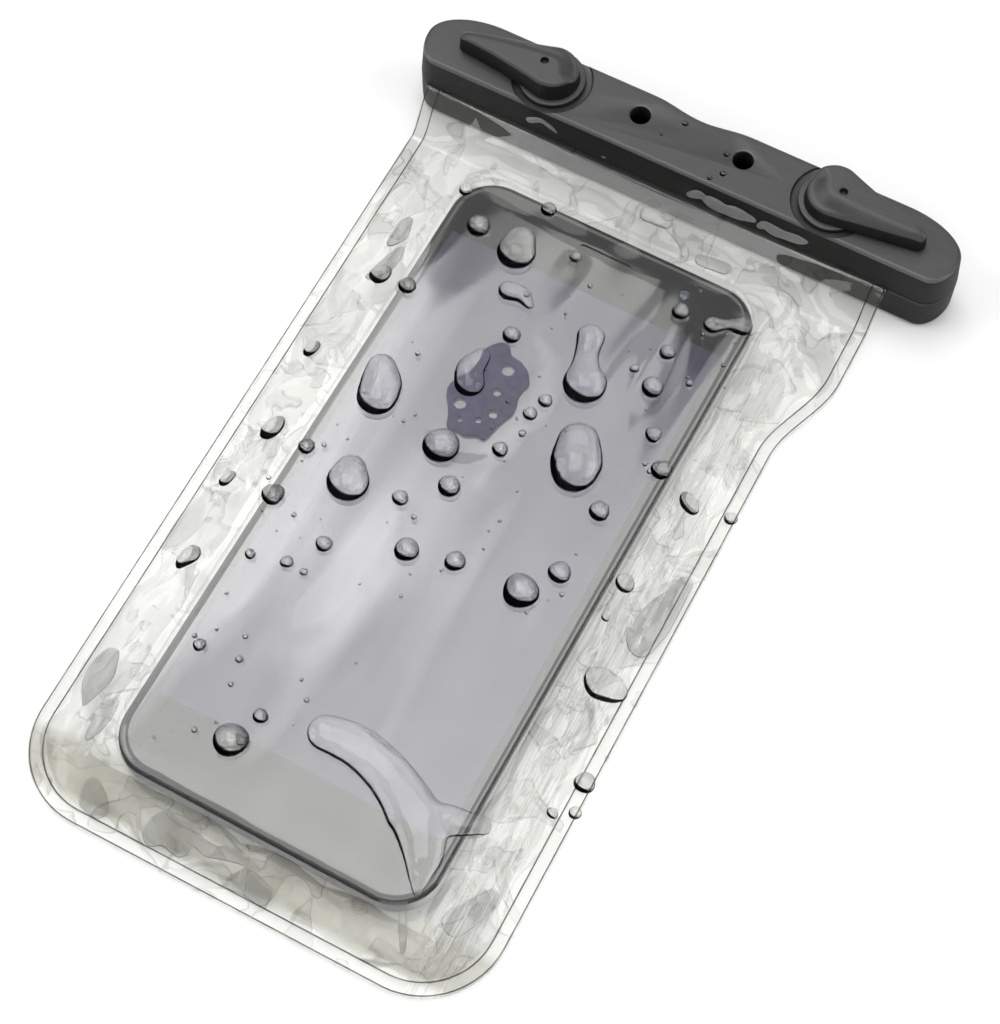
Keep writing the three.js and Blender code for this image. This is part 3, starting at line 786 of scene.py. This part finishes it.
# Long folds over the phone: x, y of both ends in the row frame, height and half width
FOLDS = [
    (14.0, 50.0, 21.0, 4.0, 0.20, 1.3), (5.0, 34.0, -3.0, -8.0, 0.13, 0.9),
    (25.5, 62.0, 24.0, -66.0, 0.16, 0.8), (-31.5, 40.0, -32.0, -52.0, 0.14, 1.0),
    (-14.0, -6.0, -18.0, -48.0, 0.16, 2.6), (-34.8, 58.0, -37.0, -72.0, 0.14, 0.5),
]


def folds(x, y):
    total = 0
    y += ROW_SHIFT
    for x0, y0, x1, y1, height, width in FOLDS:
        length = math.hypot(x1 - x0, y1 - y0)
        along = ((x - x0) * (x1 - x0) + (y - y0) * (y1 - y0)) / length
        across = ((x - x0) * (y1 - y0) - (y - y0) * (x1 - x0)) / length
        across += 1.2 * noise.noise((along * 0.04, x0, y0))
        ends = smooth_step(0, 9, along) * smooth_step(0, 9, length - along)
        total += height * ends * math.exp(-(across / width) ** 2)
    return total * (1 - contact(x, y - ROW_SHIFT))


def side_streaks(x, y, swell):
    """Fine folds that run along the phone's sides where the film leaves it."""
    u, v = phone_place(x, y)
    beyond = abs(u) - PHONE_WIDTH / 2
    reach = 10 if u > 0 else 5
    mask = smooth_step(0.5, 2, beyond) * smooth_step(0, 3, reach - beyond)
    wander = 2.2 * noise.noise((v * 0.03, 9.1, 0.3))
    wander += 0.5 * noise.noise((v * 0.11, 2.2, beyond * 0.2))
    height = 0.34 * noise.noise((v * 0.02, (beyond + wander) * 0.85, 5.5))
    return mask * min(4 * swell, 1) * height


def front_level(x, y):
    """Underside of the front film, with finer puckers than the CAD film has."""
    outside = phone_distance(x, y)
    inside = max(edge_distance(x, y) - WELD_WIDTH, 0)
    share = outside / (outside + inside + 1e-6)
    tent = mix(OVER_PHONE, WELD_LEVEL, share * share * (3 - 2 * share))
    swell = 4 * share * (1 - share)
    lively = swell * (1 - 0.8 * smooth_step(CLIMB_START - 4, CLIMB_END, y))
    waved = tent + PUCKER_HEIGHT * lively * puckers(x, y)
    fine = noise.noise((x * 0.16, y * 0.11, 3.1)) + 0.4 * noise.noise((x * 0.45, y * 0.3, 7.7))
    waved += 0.9 * lively * fine + crown(x, y) + folds(x, y) * (share < 0.02)
    waved += side_streaks(x, y, swell)
    return mix(max(waved, WELD_LEVEL), FRONT_MOUTH, climb(y))


def back_level(x, y):
    return mix(0, BACK_MOUTH, climb(y))


def film_top(x, y):
    return front_level(x, y) + FILM


def spread(breaks, counts):
    values = [breaks[0]]
    for start, end, count in zip(breaks, breaks[1:], counts):
        values += [mix(start, end, k / count) for k in range(1, count + 1)]
    return values


DRAWN_WIDTH = FILM_LEFT + FILM_RIGHT - FILM_DRAW_IN
PHONE_FROM_LEFT = FILM_LEFT + PHONE_X - PHONE_WIDTH / 2 - FILM_BRIDGE
PHONE_FAR_SIDE = PHONE_FROM_LEFT + PHONE_WIDTH + 2 * FILM_BRIDGE


def column_at(column, y):
    inset = corner_inset(y)
    squeezed = mix(inset, DRAWN_WIDTH - inset, column / DRAWN_WIDTH)
    beside = max(column - PHONE_FAR_SIDE, 0) / (DRAWN_WIDTH - PHONE_FAR_SIDE)
    return squeezed - FILM_LEFT + beside * (right_edge(y) - FILM_RIGHT + FILM_DRAW_IN)


def film_sheet(columns, rows, level):
    """Points and faces of a film as one closed sheet over the pouch's outline."""
    points = []
    for lift in (FILM, 0):
        for y in rows:
            for column in columns:
                x = column_at(column, y)
                points.append((x, y, level(x, y) + lift))
    across, down = len(columns), len(rows)
    layer = across * down
    faces = []
    for r in range(down - 1):
        for c in range(across - 1):
            a = r * across + c
            b = a + across
            faces.append((b, b + 1, a + 1, a))
            faces.append((a + layer, a + 1 + layer, b + 1 + layer, b + layer))
        left = r * across
        right = left + across - 1
        faces.append((left, left + layer, left + across + layer, left + across))
        faces.append((right + across, right + across + layer, right + layer, right))
    last = (down - 1) * across
    for c in range(across - 1):
        faces.append((c + 1, c + 1 + layer, c + layer, c))
        faces.append((last + c, last + c + layer, last + c + 1 + layer, last + c + 1))
    return points, faces


def mark_weld(film):
    """Stores on each point whether it lies in the welded border, for the film's material."""
    welded = film.data.attributes.new("weld", "FLOAT", "POINT")
    for vertex in film.data.vertices:
        x, y = vertex.co.x / MM, vertex.co.y / MM - ROW_SHIFT
        welded.data[vertex.index].value = 1 if edge_distance(x, y) < WELD_WIDTH + 0.2 else 0


def film_rows(body, corner):
    over_phone = PHONE_Y + PHONE_LENGTH / 2 + FILM_BRIDGE
    rows = spread([MOUTH_EDGE, CLIMB_END, CLIMB_START, over_phone, POUCH_CORNER - POUCH_DROP],
                  [3, 14, 8, body])
    for k in reversed(range(corner)):
        rows.append(POUCH_CORNER * (1 - math.cos(math.pi / 2 * k / corner)) - POUCH_DROP)
    return rows


def film_columns(counts):
    return spread([0, WELD_WIDTH, PHONE_FROM_LEFT, PHONE_FAR_SIDE, DRAWN_WIDTH - WELD_WIDTH,
                   DRAWN_WIDTH], counts)


def add_films(front_material, back_material):
    fine = film_sheet(film_columns([3, 26, 34, 24, 3]), film_rows(170, 34), front_level)
    front = add_piece("front_film_sheet", *fine, front_material, "pouch", "clear_film", 60)
    mark_weld(front)
    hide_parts("front_film")
    plain = film_sheet(film_columns([2, 8, 12, 8, 2]), film_rows(40, 20), back_level)
    back = add_piece("back_film_sheet", *plain, back_material, "pouch", "clear_film", 60)
    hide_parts("back_film")
    for film in (front, back):
        film.visible_shadow = False


def outline_path(inset):
    """The pouch's welded outline, drawn in, from the clamp's left end round to its right end."""
    foot = POUCH_CORNER - POUCH_DROP
    left = POUCH_CORNER - FILM_LEFT
    right = FILM_RIGHT - FILM_DRAW_IN - POUCH_CORNER
    radius = POUCH_CORNER - inset
    corner = arc(0, 90, 24)
    heights = [mix(foot, CLIMB_END - 0.2, k / 100) for k in range(1, 101)]
    points = [(inset - FILM_LEFT, y) for y in reversed(heights)]
    points += [(left - radius * cos, foot - radius * sin) for cos, sin in corner]
    points += [(mix(left, right, k / 50), inset - POUCH_DROP) for k in range(1, 50)]
    points += [(right + radius * sin, foot - radius * cos) for cos, sin in corner]
    return points + [(right_edge(y) - inset, y) for y in heights]


def add_weld_lines(material):
    for name, inset, radius in (("outer_weld_line", 0.35, 0.13), ("inner_weld_line", 2.9, 0.14)):
        circle = [(radius * cos, radius * sin) for cos, sin in arc(0, 360, 8)[:-1]]
        path = outline_path(inset)
        rings = []
        for i, (x, y) in enumerate(path):
            before = path[max(i - 1, 0)]
            after = path[min(i + 1, len(path) - 1)]
            along = Vector((after[0] - before[0], after[1] - before[1])).normalized()
            z = film_top(x, y) + 0.6 * radius
            rings.append([(x - along.y * out, y + along.x * out, z + up) for out, up in circle])
        add_piece(name, *stack(rings), material, "pouch", "clear_film", 180)


# Phone

def phone_outline(inset, steps=20):
    radius = PHONE_CORNER - inset
    points = []
    for sx, sy, start in ((1, -1, -90), (1, 1, 0), (-1, 1, 90), (-1, -1, 180)):
        for cos, sin in arc(start, 90, steps):
            points.append((sx * (PHONE_WIDTH / 2 - PHONE_CORNER) + radius * cos,
                           sy * (PHONE_LENGTH / 2 - PHONE_CORNER) + radius * sin))
    return points


def on_phone(points):
    """Turns points about the phone's middle into the clamp's frame."""
    return spin(points, PHONE_TURN, PHONE_X, PHONE_Y)


def add_phone(shell, glass, lens):
    seam = PHONE_TOP - GLASS_THICKNESS - GLASS_SEAM
    levels = [(PHONE_EDGE * (1 - sin), PHONE_FOOT + PHONE_EDGE * (1 - cos))
              for cos, sin in arc(0, 90, 8)]
    levels += [(0, seam - PHONE_EDGE / 2), (0.04, seam - 0.5), (0.12, seam - 0.15), (0.275, seam)]
    points, faces = layers(phone_outline, levels)
    body = add_piece("phone_body", on_phone(points), faces, shell, "pouch", "phone_shell", 50)
    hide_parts("phone_shell")

    foot = PHONE_TOP - GLASS_THICKNESS
    levels = [(0.55, foot), (0.62, foot + 0.25), (0.73, foot + 0.4), (0.95, foot + 0.55),
              (1.32, PHONE_TOP - 0.13), (1.75, PHONE_TOP - 0.035), (2.2, PHONE_TOP)]
    slab = layers(phone_outline, levels)
    slot_y = PHONE_LENGTH / 2 - 6
    slot = [[(sign * (5.4 + 0.6 * cos), slot_y + sign * 0.6 * sin, z)
             for sign in (1, -1) for cos, sin in arc(-90, 180, 12)]
            for z in (PHONE_TOP - 0.45, PHONE_TOP + CUT)]
    lens_x, lens_y = 18.5, PHONE_LENGTH / 2 - 6.2
    seat = turned([(1.3, PHONE_TOP - 0.4), (1.3, PHONE_TOP + CUT)], lens_x, lens_y, 48)
    points, faces = combine(slab, [stack(slot), seat], "DIFFERENCE")
    front = add_piece("phone_front", on_phone(points), faces, glass, "pouch", "phone_glass", 30)
    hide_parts("phone_glass")
    dome = turned([(1.15, PHONE_TOP - 0.38), (1.15, PHONE_TOP - 0.16), (1.0, PHONE_TOP - 0.1),
                   (0.7, PHONE_TOP - 0.05), (0.3, PHONE_TOP - 0.02), (0.01, PHONE_TOP - 0.015)],
                  lens_x, lens_y, 48)
    add_piece("phone_camera", on_phone(dome[0]), dome[1], lens, "pouch", "phone_glass", 50)


# Water drops: x, y and radius in the row frame's millimetres, as they lie on the front film

ROUND_DROPS = [
    (-31.7, 53.4, 2.5), (-20.6, 64.0, 1.7), (-38.4, 60.2, 1.5), (-10.2, 56.2, 1.3),
    (-13.5, 33.7, 1.9), (-14.2, 4.6, 3.8), (-8.4, -2.7, 2.3), (-15.8, -9.5, 1.7),
    (-9.2, -18.8, 2.5), (0.4, -16.5, 2.1), (14.8, -16.1, 3.6), (19.7, -9.0, 2.3),
    (20.6, 6.4, 2.1), (27.4, 20.5, 2.1), (22.5, 26.7, 1.7), (17.6, 36.2, 2.3),
    (16.7, 44.9, 1.7), (14.9, 54.8, 1.9), (12.4, 38.4, 1.0), (23.8, 40.6, 0.8),
    (-0.3, 23.4, 1.5), (-1.7, 19.4, 1.5), (-3.3, 9.4, 1.7), (-1.0, 14.6, 0.8),
    (35.2, 17.6, 2.1), (43.4, 20.9, 1.4), (31.9, -4.7, 1.9), (31.9, -13.1, 0.8),
    (42.8, -42.7, 2.1), (43.9, -48.9, 1.3), (40.1, -51.1, 1.1), (-19.8, -69.1, 3.4),
    (-17.2, -62.3, 1.5), (-26.9, -70.6, 0.6), (-35.0, -55.2, 1.3), (-26.7, -54.1, 0.8),
    (-24.3, -25.3, 1.7), (-28.8, -32.1, 1.3), (-24.8, -32.4, 0.8), (-36.1, -34.0, 1.1),
    (-38.7, -20.6, 2.3), (-38.1, -8.2, 1.7), (-47.1, -6.8, 2.8), (-50.0, -20.3, 1.9),
    (-47.4, -39.4, 2.7), (-49.8, 13.8, 1.9), (-44.9, 34.4, 2.5), (-38.1, 33.9, 1.9),
]

# Larger drops: chains of x, y and radius, in the row frame's millimetres
LONG_DROPS = [
    [(-22.4, 54.6, 3.3), (-21.8, 51.6, 4.2)],
    [(-18.8, 42.6, 2.3), (-16.0, 42.9, 1.9), (-13.6, 41.6, 1.2)],
    [(-33.4, 14.4, 3.1), (-31.6, 11.0, 4.4), (-31.0, 8.2, 4.2)],
    [(-15.9, 19.9, 3.2), (-17.2, 22.6, 3.0), (-16.6, 26.4, 2.0)],
    [(1.2, 40.8, 3.0), (2.2, 37.0, 2.6), (3.6, 33.4, 3.2), (5.0, 30.6, 4.6)],
    [(10.0, 18.0, 4.4), (11.6, 14.0, 5.4), (12.2, 11.6, 4.4)],
    [(-27.6, -8.6, 3.2), (-26.8, -11.2, 4.4)],
    [(22.0, 55.0, 2.0), (24.6, 56.4, 1.3), (27.6, 57.8, 2.2)],
    [(36.2, -24.8, 2.8), (38.4, -23.6, 3.0), (40.2, -23.2, 2.0)],
]

PUDDLES = [
    [(-4.4, -59.4, 3.7), (-1.1, -59.0, 4.1), (2.6, -59.0, 4.3), (6.9, -60.0, 4.4),
     (11.2, -61.6, 4.6), (15.1, -63.7, 4.9), (18.8, -65.9, 5.2), (22.1, -65.1, 4.0),
     (24.9, -63.6, 3.2), (28.0, -62.5, 2.5), (30.4, -61.5, 2.0)],
    [(18.8, -65.9, 5.2), (21.5, -68.6, 4.8), (23.3, -71.4, 4.0), (24.3, -74.0, 2.9),
     (25.1, -76.3, 2.0), (25.8, -78.1, 1.2), (26.3, -79.2, 0.7)],
]

# Low lumps of water on the film beside the phone, written in the same way
MARGIN_LUMPS = [
    [(-51.3, -63.9, 2.3), (-51.0, -66.6, 3.2), (-50.2, -69.4, 3.6), (-49.7, -72.4, 2.3),
     (-49.9, -74.3, 1.0)],
    [(-43.5, -73.0, 1.2), (-43.7, -76.0, 1.7), (-44.1, -79.0, 1.7), (-44.4, -81.0, 0.9)],
    [(-39.0, -89.4, 2.3), (-37.3, -90.7, 2.3), (-39.7, -91.1, 1.5)],
    [(-24.9, -90.8, 2.1), (-22.7, -89.2, 2.7), (-19.2, -90.0, 2.3)],
    [(-17.7, -88.0, 1.1), (-14.2, -88.8, 1.3), (-11.6, -88.7, 1.1), (-8.6, -88.0, 1.3),
     (-5.7, -87.8, 1.1)],
    [(-6.9, -91.7, 1.4), (-4.0, -90.7, 2.1), (-0.8, -91.1, 2.1)],
    [(41.6, 3.7, 1.7), (41.0, -1.1, 2.4), (40.2, -7.0, 3.2), (39.4, -12.0, 3.0)],
    [(-46.4, 34.1, 1.9), (-45.1, 37.0, 2.5), (-43.9, 40.4, 1.5)],
    [(-46.2, 44.4, 2.6), (-46.6, 48.2, 1.9)],
    [(-1.6, 73.0, 2.0), (2.6, 72.8, 1.8)], [(13.4, 68.0, 1.6), (18.2, 68.6, 1.8)],
    [(34.3, -80.0, 2.3), (36.3, -75.8, 2.1), (38.0, -71.4, 1.5)],
    [(25.4, -83.1, 0.8), (26.9, -85.8, 1.0), (28.3, -88.6, 0.7)],
]

# Wet streaks on the clamp's near wall: x, height and radius
WALL_STREAKS = [
    [(4.6, 11.2, 1.2), (6.6, 12.8, 1.5), (7.8, 12.4, 1.0), (10.0, 12.0, 2.2), (13.1, 11.6, 1.9),
     (15.4, 12.2, 2.2), (18.9, 12.4, 1.2)],
    [(20.9, 11.0, 1.2), (22.0, 12.6, 1.3), (23.9, 11.9, 2.0), (26.3, 11.9, 1.7),
     (29.2, 12.4, 1.7), (31.2, 12.9, 0.8)],
    [(-33.5, 12.5, 1.1), (-31.0, 14.1, 0.9), (-28.6, 13.3, 0.8), (-25.7, 11.6, 0.45),
     (-21.6, 10.3, 0.4), (-18.6, 10.6, 0.45), (-16.0, 11.0, 0.9), (-14.0, 10.9, 0.7),
     (-11.2, 10.3, 0.4), (-7.4, 10.0, 0.35), (-4.8, 9.9, 0.4)],
]

# Drops on the clamp's top: x, y and radius
CLAMP_DROPS = [(8.3, -0.3, 0.7), (9.7, -5.0, 0.7), (7.7, -7.2, 0.6), (-2.7, 2.5, 0.7),
               (-5.9, -2.3, 0.35)]

# The wet patch on the phone: its outline and the dry spots in it, in the row frame's millimetres
PATCH = [
    (-14.5, 31.2), (-12.7, 31.2), (-11.1, 29.4), (-9.2, 29.1), (-7.1, 28.2), (-5.6, 26.5),
    (-5.0, 25.0), (-5.5, 23.7), (-5.6, 21.7), (-5.0, 19.7), (-4.9, 17.5), (-5.6, 15.8),
    (-6.2, 14.1), (-6.6, 12.0), (-7.4, 9.8), (-8.9, 10.0), (-11.2, 8.8), (-12.5, 9.1),
    (-15.1, 8.8), (-16.2, 11.2), (-17.6, 13.7), (-18.6, 14.9), (-19.3, 17.1), (-18.7, 19.6),
    (-17.0, 22.2), (-16.6, 25.8), (-16.9, 27.7), (-16.0, 29.7),
]
DRY_SPOTS = [(-15.4, 14.9, 1.3), (-13.7, 11.7, 0.6), (-10.3, 13.2, 0.7), (-8.3, 15.8, 1.0),
             (-9.9, 20.6, 0.9), (-10.3, 26.2, 1.4)]


def on_film(x, y, height):
    return place((x, y - ROW_SHIFT, film_top(x, y - ROW_SHIFT) + 0.03 + height))


def on_clamp(x, y, height):
    return place((x, y, CLAMP_TOP + height))


def on_near_wall(x, z, height):
    return place((x, NEAR_WALL + 0.35 - height, z))


def curve(points, share, index):
    """A smooth curve through points: the place after a share of the step from one to the next."""
    last = len(points) - 1
    a, b, c, d = (points[min(max(index + k, 0), last)] for k in (-1, 0, 1, 2))
    made = []
    for p, q, r, s in zip(a, b, c, d):
        bend = (2 * p - 5 * q + 4 * r - s) * share + (3 * q - p - 3 * r + s) * share * share
        made.append(q + 0.5 * share * (r - p + bend))
    return tuple(made)


def settle(mesh, onto):
    """Keeps the normals of flat water as an attribute, then lays the water on a surface."""
    domes = mesh.attributes.new("dome", "FLOAT_VECTOR", "POINT")
    for vertex in mesh.vertices:
        at_base = vertex.co.z < 0.00002
        normal = vertex.normal
        domes.data[vertex.index].vector = (normal.x, normal.y, 0 if at_base else normal.z)
    for vertex in mesh.vertices:
        x, y, height = vertex.co / MM
        vertex.co = onto(x, y, max(height, 0))


def round_drop(bm, x, y, radius, rng):
    """A closed dome on a flat base."""
    around = 12 if radius < 0.5 else 32
    up = 3 if radius < 0.5 else 9
    height = radius * rng.uniform(0.62, 0.74)
    wobble = [(rng.uniform(0.0, 0.05), rng.uniform(0, 6.28)) for _ in range(2)]

    def reach(angle):
        bulge = sum(a * math.sin((k + 2) * angle + p) for k, (a, p) in enumerate(wobble))
        return radius * (1 + bulge)

    rings = []
    for k in range(up):
        tilt = math.pi / 2 * k / up
        ring = []
        for i in range(around):
            angle = 2 * math.pi * i / around
            out = reach(angle) * math.cos(tilt)
            corner = (x + out * math.cos(angle), y + out * math.sin(angle), height * math.sin(tilt))
            ring.append(bm.verts.new([part * MM for part in corner]))
        rings.append(ring)
    tip = bm.verts.new((x * MM, y * MM, height * MM))
    for low, high in zip(rings, rings[1:]):
        for i in range(around):
            j = (i + 1) % around
            bm.faces.new((low[i], low[j], high[j], high[i]))
    for i in range(around):
        bm.faces.new((rings[-1][i], rings[-1][(i + 1) % around], tip))
    bm.faces.new(list(reversed(rings[0])))


def add_domes(name, drops, onto, body, material):
    rng = random.Random(7)
    bm = bmesh.new()
    for x, y, radius in drops:
        round_drop(bm, x, y, radius, rng)
    mesh = bpy.data.meshes.new(name)
    bm.to_mesh(mesh)
    bm.free()
    settle(mesh, onto)
    add_clear_piece(name, mesh, material, body)


def scattered_drops():
    """Specks of water about the larger drops on the phone."""
    rng = random.Random(11)
    clusters = [(-12, 20, 26, 34), (8, 0, 24, 20), (-20, -12, 22, 22), (12, 52, 22, 12),
                (-24, -58, 18, 18), (22, 30, 14, 26)]
    drops = []
    for cx, cy, wide, high in clusters:
        for _ in range(16):
            x = cx + rng.uniform(-wide, wide)
            y = cy + rng.uniform(-high, high)
            if phone_distance(x, y - ROW_SHIFT) == 0:
                drops.append((x, y, rng.choice((0.2, 0.25, 0.3, 0.4, 0.55))))
    return drops


def chain(links):
    """Links of a chain, filled in so that neighbours overlap well."""
    filled = [links[0]]
    for index, (a, b) in enumerate(zip(links, links[1:])):
        count = max(2, round(math.dist(a[:2], b[:2]) / (0.3 * min(a[2], b[2]))))
        filled += [curve(links, k / count, index) for k in range(1, count + 1)]
    return filled


def add_long_drops(name, chains, flat, voxel, material, body="pouch", onto=on_film):
    """Drops that ran together: spheres along chains, melted into one skin on a surface."""
    bm = bmesh.new()
    for links in chains:
        for x, y, radius in chain(links):
            height = radius * flat
            size = Matrix.LocRotScale(Vector((x, y, 0)) * MM, None,
                                      Vector((radius, radius, height)) * MM)
            fineness = 3 if radius > 2 else 2
            bmesh.ops.create_icosphere(bm, subdivisions=fineness, radius=1, matrix=size)
    mesh = bpy.data.meshes.new(name)
    bm.to_mesh(mesh)
    bm.free()
    piece = finish_piece(name, mesh, material, smooth=180)
    melt = piece.modifiers.new("melt", "REMESH")
    melt.mode = "VOXEL"
    melt.voxel_size = voxel * MM
    soften = piece.modifiers.new("soften", "SMOOTH")
    soften.factor = 0.5
    soften.iterations = 10
    shapes = bpy.context.evaluated_depsgraph_get()
    melted = bpy.data.meshes.new_from_object(piece.evaluated_get(shapes))
    bpy.data.objects.remove(piece)
    settle(melted, onto)
    add_clear_piece(name, melted, material, body)


def add_wet_patch(material):
    """Water that holds the film to the phone's glass, with a few dry spots: an opaque sheet whose
    darker lilac tone is painted shade.
    """
    looped = PATCH[-1:] + PATCH + PATCH[:2]
    outline = [curve(looped, k / 4, index) for index in range(1, len(PATCH) + 1) for k in range(4)]
    low = OVER_PHONE + FILM + 0.02
    rings = [[(x, y - ROW_SHIFT, z) for x, y in reversed(outline)] for z in (low, low + 0.04)]
    spots = [turned([(r, low - CUT), (r, low + CUT)], x, y - ROW_SHIFT, 24)
             for x, y, r in DRY_SPOTS]
    patch = combine(stack(rings), spots, "DIFFERENCE")
    add_piece("wet_patch", *patch, material, "pouch", smooth=30)


# Camera, light and floor

def aim(thing, azimuth, elevation, distance, target=(0, 0, 0)):
    """Adds a camera, lamp or panel to the scene, standing off a target and facing it."""
    a, e = math.radians(azimuth), math.radians(elevation)
    back = Vector((math.sin(a) * math.cos(e), -math.cos(a) * math.cos(e), math.sin(e)))
    thing.location = Vector(target) + back * distance
    thing.rotation_mode = "QUATERNION"
    thing.rotation_quaternion = (-back).to_track_quat("-Z", "Y")
    bpy.context.scene.collection.objects.link(thing)


def add_camera():
    """The photo's own viewpoint, solved from its clamp, lanyard holes, edges and phone."""
    data = bpy.data.cameras.new("camera")
    data.sensor_width = 36
    data.lens = 84.73
    camera = bpy.data.objects.new("camera", data)
    aim(camera, CAMERA_AZIMUTH, 65.37, 0.48914, (0.00125, 0.00082, 0))
    bpy.context.scene.camera = camera


def add_softbox(name, azimuth, elevation, width, height, radiance):
    data = bpy.data.lights.new(name, "AREA")
    data.shape = "RECTANGLE"
    data.size = width
    data.size_y = height
    data.energy = radiance * width * height * math.pi
    aim(bpy.data.objects.new(name, data), azimuth, elevation, 1.8)


def add_panel(name, outline, n, strength):
    """A glowing panel straight across from the camera; it lights with its front side only."""
    level = n.times(n.math("SUBTRACT", 1.0, n.geometry("Backfacing")), strength)
    glow = n.add("ShaderNodeEmission", Color=WHITE, Strength=level).outputs[0]
    mesh = bpy.data.meshes.new(name)
    mesh.from_pydata([(x, y, 0) for x, y in outline], [], [tuple(reversed(range(len(outline))))])
    mesh.materials.append(n.finish(glow))
    panel = bpy.data.objects.new(name, mesh)
    aim(panel, CAMERA_AZIMUTH + 180, 65, 1.6)


def add_key_panel():
    """The main diffuser: brighter to its upper edge and to one side, with a notch to mirror."""
    n = Nodes("diffuser")
    share = n.math("ADD", n.times(n.axis("Y"), 1.2), 0.45, clamp=True)
    beside = n.times(n.rise(n.axis("X"), 0.05, 8), n.rise(n.axis("Y"), 0.15, -12), 2.6)
    level = n.math("ADD", n.math("ADD", n.times(share, 1.6), 2.3), beside)
    outline = [(0.52, -0.36), (0.52, 0.95), (-0.45, 0.95), (-0.45, -0.16), (-0.225, -0.127),
               (-0.165, -0.103), (-0.105, -0.095), (-0.085, -0.108), (-0.094, -0.127),
               (-0.122, -0.144), (-0.155, -0.158), (-0.168, -0.172), (-0.16, -0.185),
               (-0.12, -0.205), (0.016, -0.247)]
    add_panel("key_panel", outline, n, level)


def add_back_panel():
    """A dim panel behind the clamp, which its top faces mirror softly."""
    outline = [(0.9, -0.95), (0.9, -0.42), (-0.9, -0.30), (-0.9, -0.95)]
    add_panel("back_panel", outline, Nodes("back_panel_glow"), 1.6)


def add_stage():
    far = 4000
    corners = [(x, y, -0.15) for x, y in ((-far, -far), (far, -far), (far, far), (-far, far))]
    floor = add_piece("floor", corners, [(0, 1, 2, 3)], floor_material(), smooth=0)
    world = bpy.data.worlds.new("studio")
    world.use_nodes = True
    background = world.node_tree.nodes["Background"]
    background.inputs["Color"].default_value = (0.98, 0.99, 1, 1)
    background.inputs["Strength"].default_value = 0.24
    bpy.context.scene.world = world
    add_key_panel()
    add_back_panel()
    add_softbox("left_softbox", 290, 38, 1.1, 1.1, 2.6)
    add_softbox("right_softbox", 110, 38, 1.1, 1.1, 2.6)
    add_softbox("front_softbox", 20, 34, 1.2, 0.7, 2.0)


bpy.context.scene.view_settings.view_transform = "Standard"
add_camera()
add_stage()

satin = plastic_material("satin_plastic", (0.032, 0.0315, 0.031), (0.046, 0.045, 0.044),
                         0.4, 0.5, 0.6)
# A darker copy of the plastic for the walls: painted shade.
matt = plastic_material("matt_plastic_painted_shade", (0.008, 0.0077, 0.0077), (0.013, 0.0125, 0.0125),
                        0.5, 0.65, 0.24)
# A lighter copy of the plastic for the near top edge: a painted highlight.
edge = plastic_material("edge_painted_highlight", (0.075, 0.073, 0.072), (0.095, 0.093, 0.091),
                        0.3, 0.4, 0.7)
add_back_bar(satin, matt)
add_front_bar(satin, matt, edge)
add_lever("left", -1, satin, matt)
add_lever("right", 1, satin, matt)
add_films(film_material("front_film_clear", 1.1), film_material("back_film_clear", 1.0))
add_weld_lines(weld_material())
add_phone(shell_material(), glass_material(), lens_material())
water = water_material("water", 0.55, 0.8, 0.02)
pool_water = water_material("pool_water", 0.6, 0.45, 0.03)
still_water = water_material("still_water", 0.85, 0.4, 0.2)
add_domes("water_drops", ROUND_DROPS + scattered_drops(), on_film, "pouch", water)
add_domes("clamp_drops", CLAMP_DROPS, on_clamp, "front_bar", water)
add_long_drops("long_drops", LONG_DROPS, 0.62, 0.28, water)
add_long_drops("puddle", PUDDLES, 0.4, 0.3, pool_water)
add_long_drops("margin_lumps", MARGIN_LUMPS, 0.25, 0.22, still_water)
# Wet streaks on the near wall, painted lighter: a painted reflection.
wall_wet_reflection = wet_layer_painted_tone("wet_plastic_painted_reflection", (0.26, 0.25, 0.25), 0.3, 0.5)
add_long_drops("wall_streaks", WALL_STREAKS, 0.3, 0.18, wall_wet_reflection, "front_bar", on_near_wall)
# The wet patch is painted darker lilac: painted shade where the wet film loses its reflection.
add_wet_patch(wet_layer_painted_tone("wet_glass_painted_shade", (0.13, 0.122, 0.17), 0.4, 0.1))

rubber = rubber_material()
steel = steel_material()
for seal in ("back_seal", "front_seal"):
    nodes[seal].data.materials[0] = rubber
for ring in ("left_retaining_ring", "right_retaining_ring"):
    nodes[ring].data.materials[0] = steel
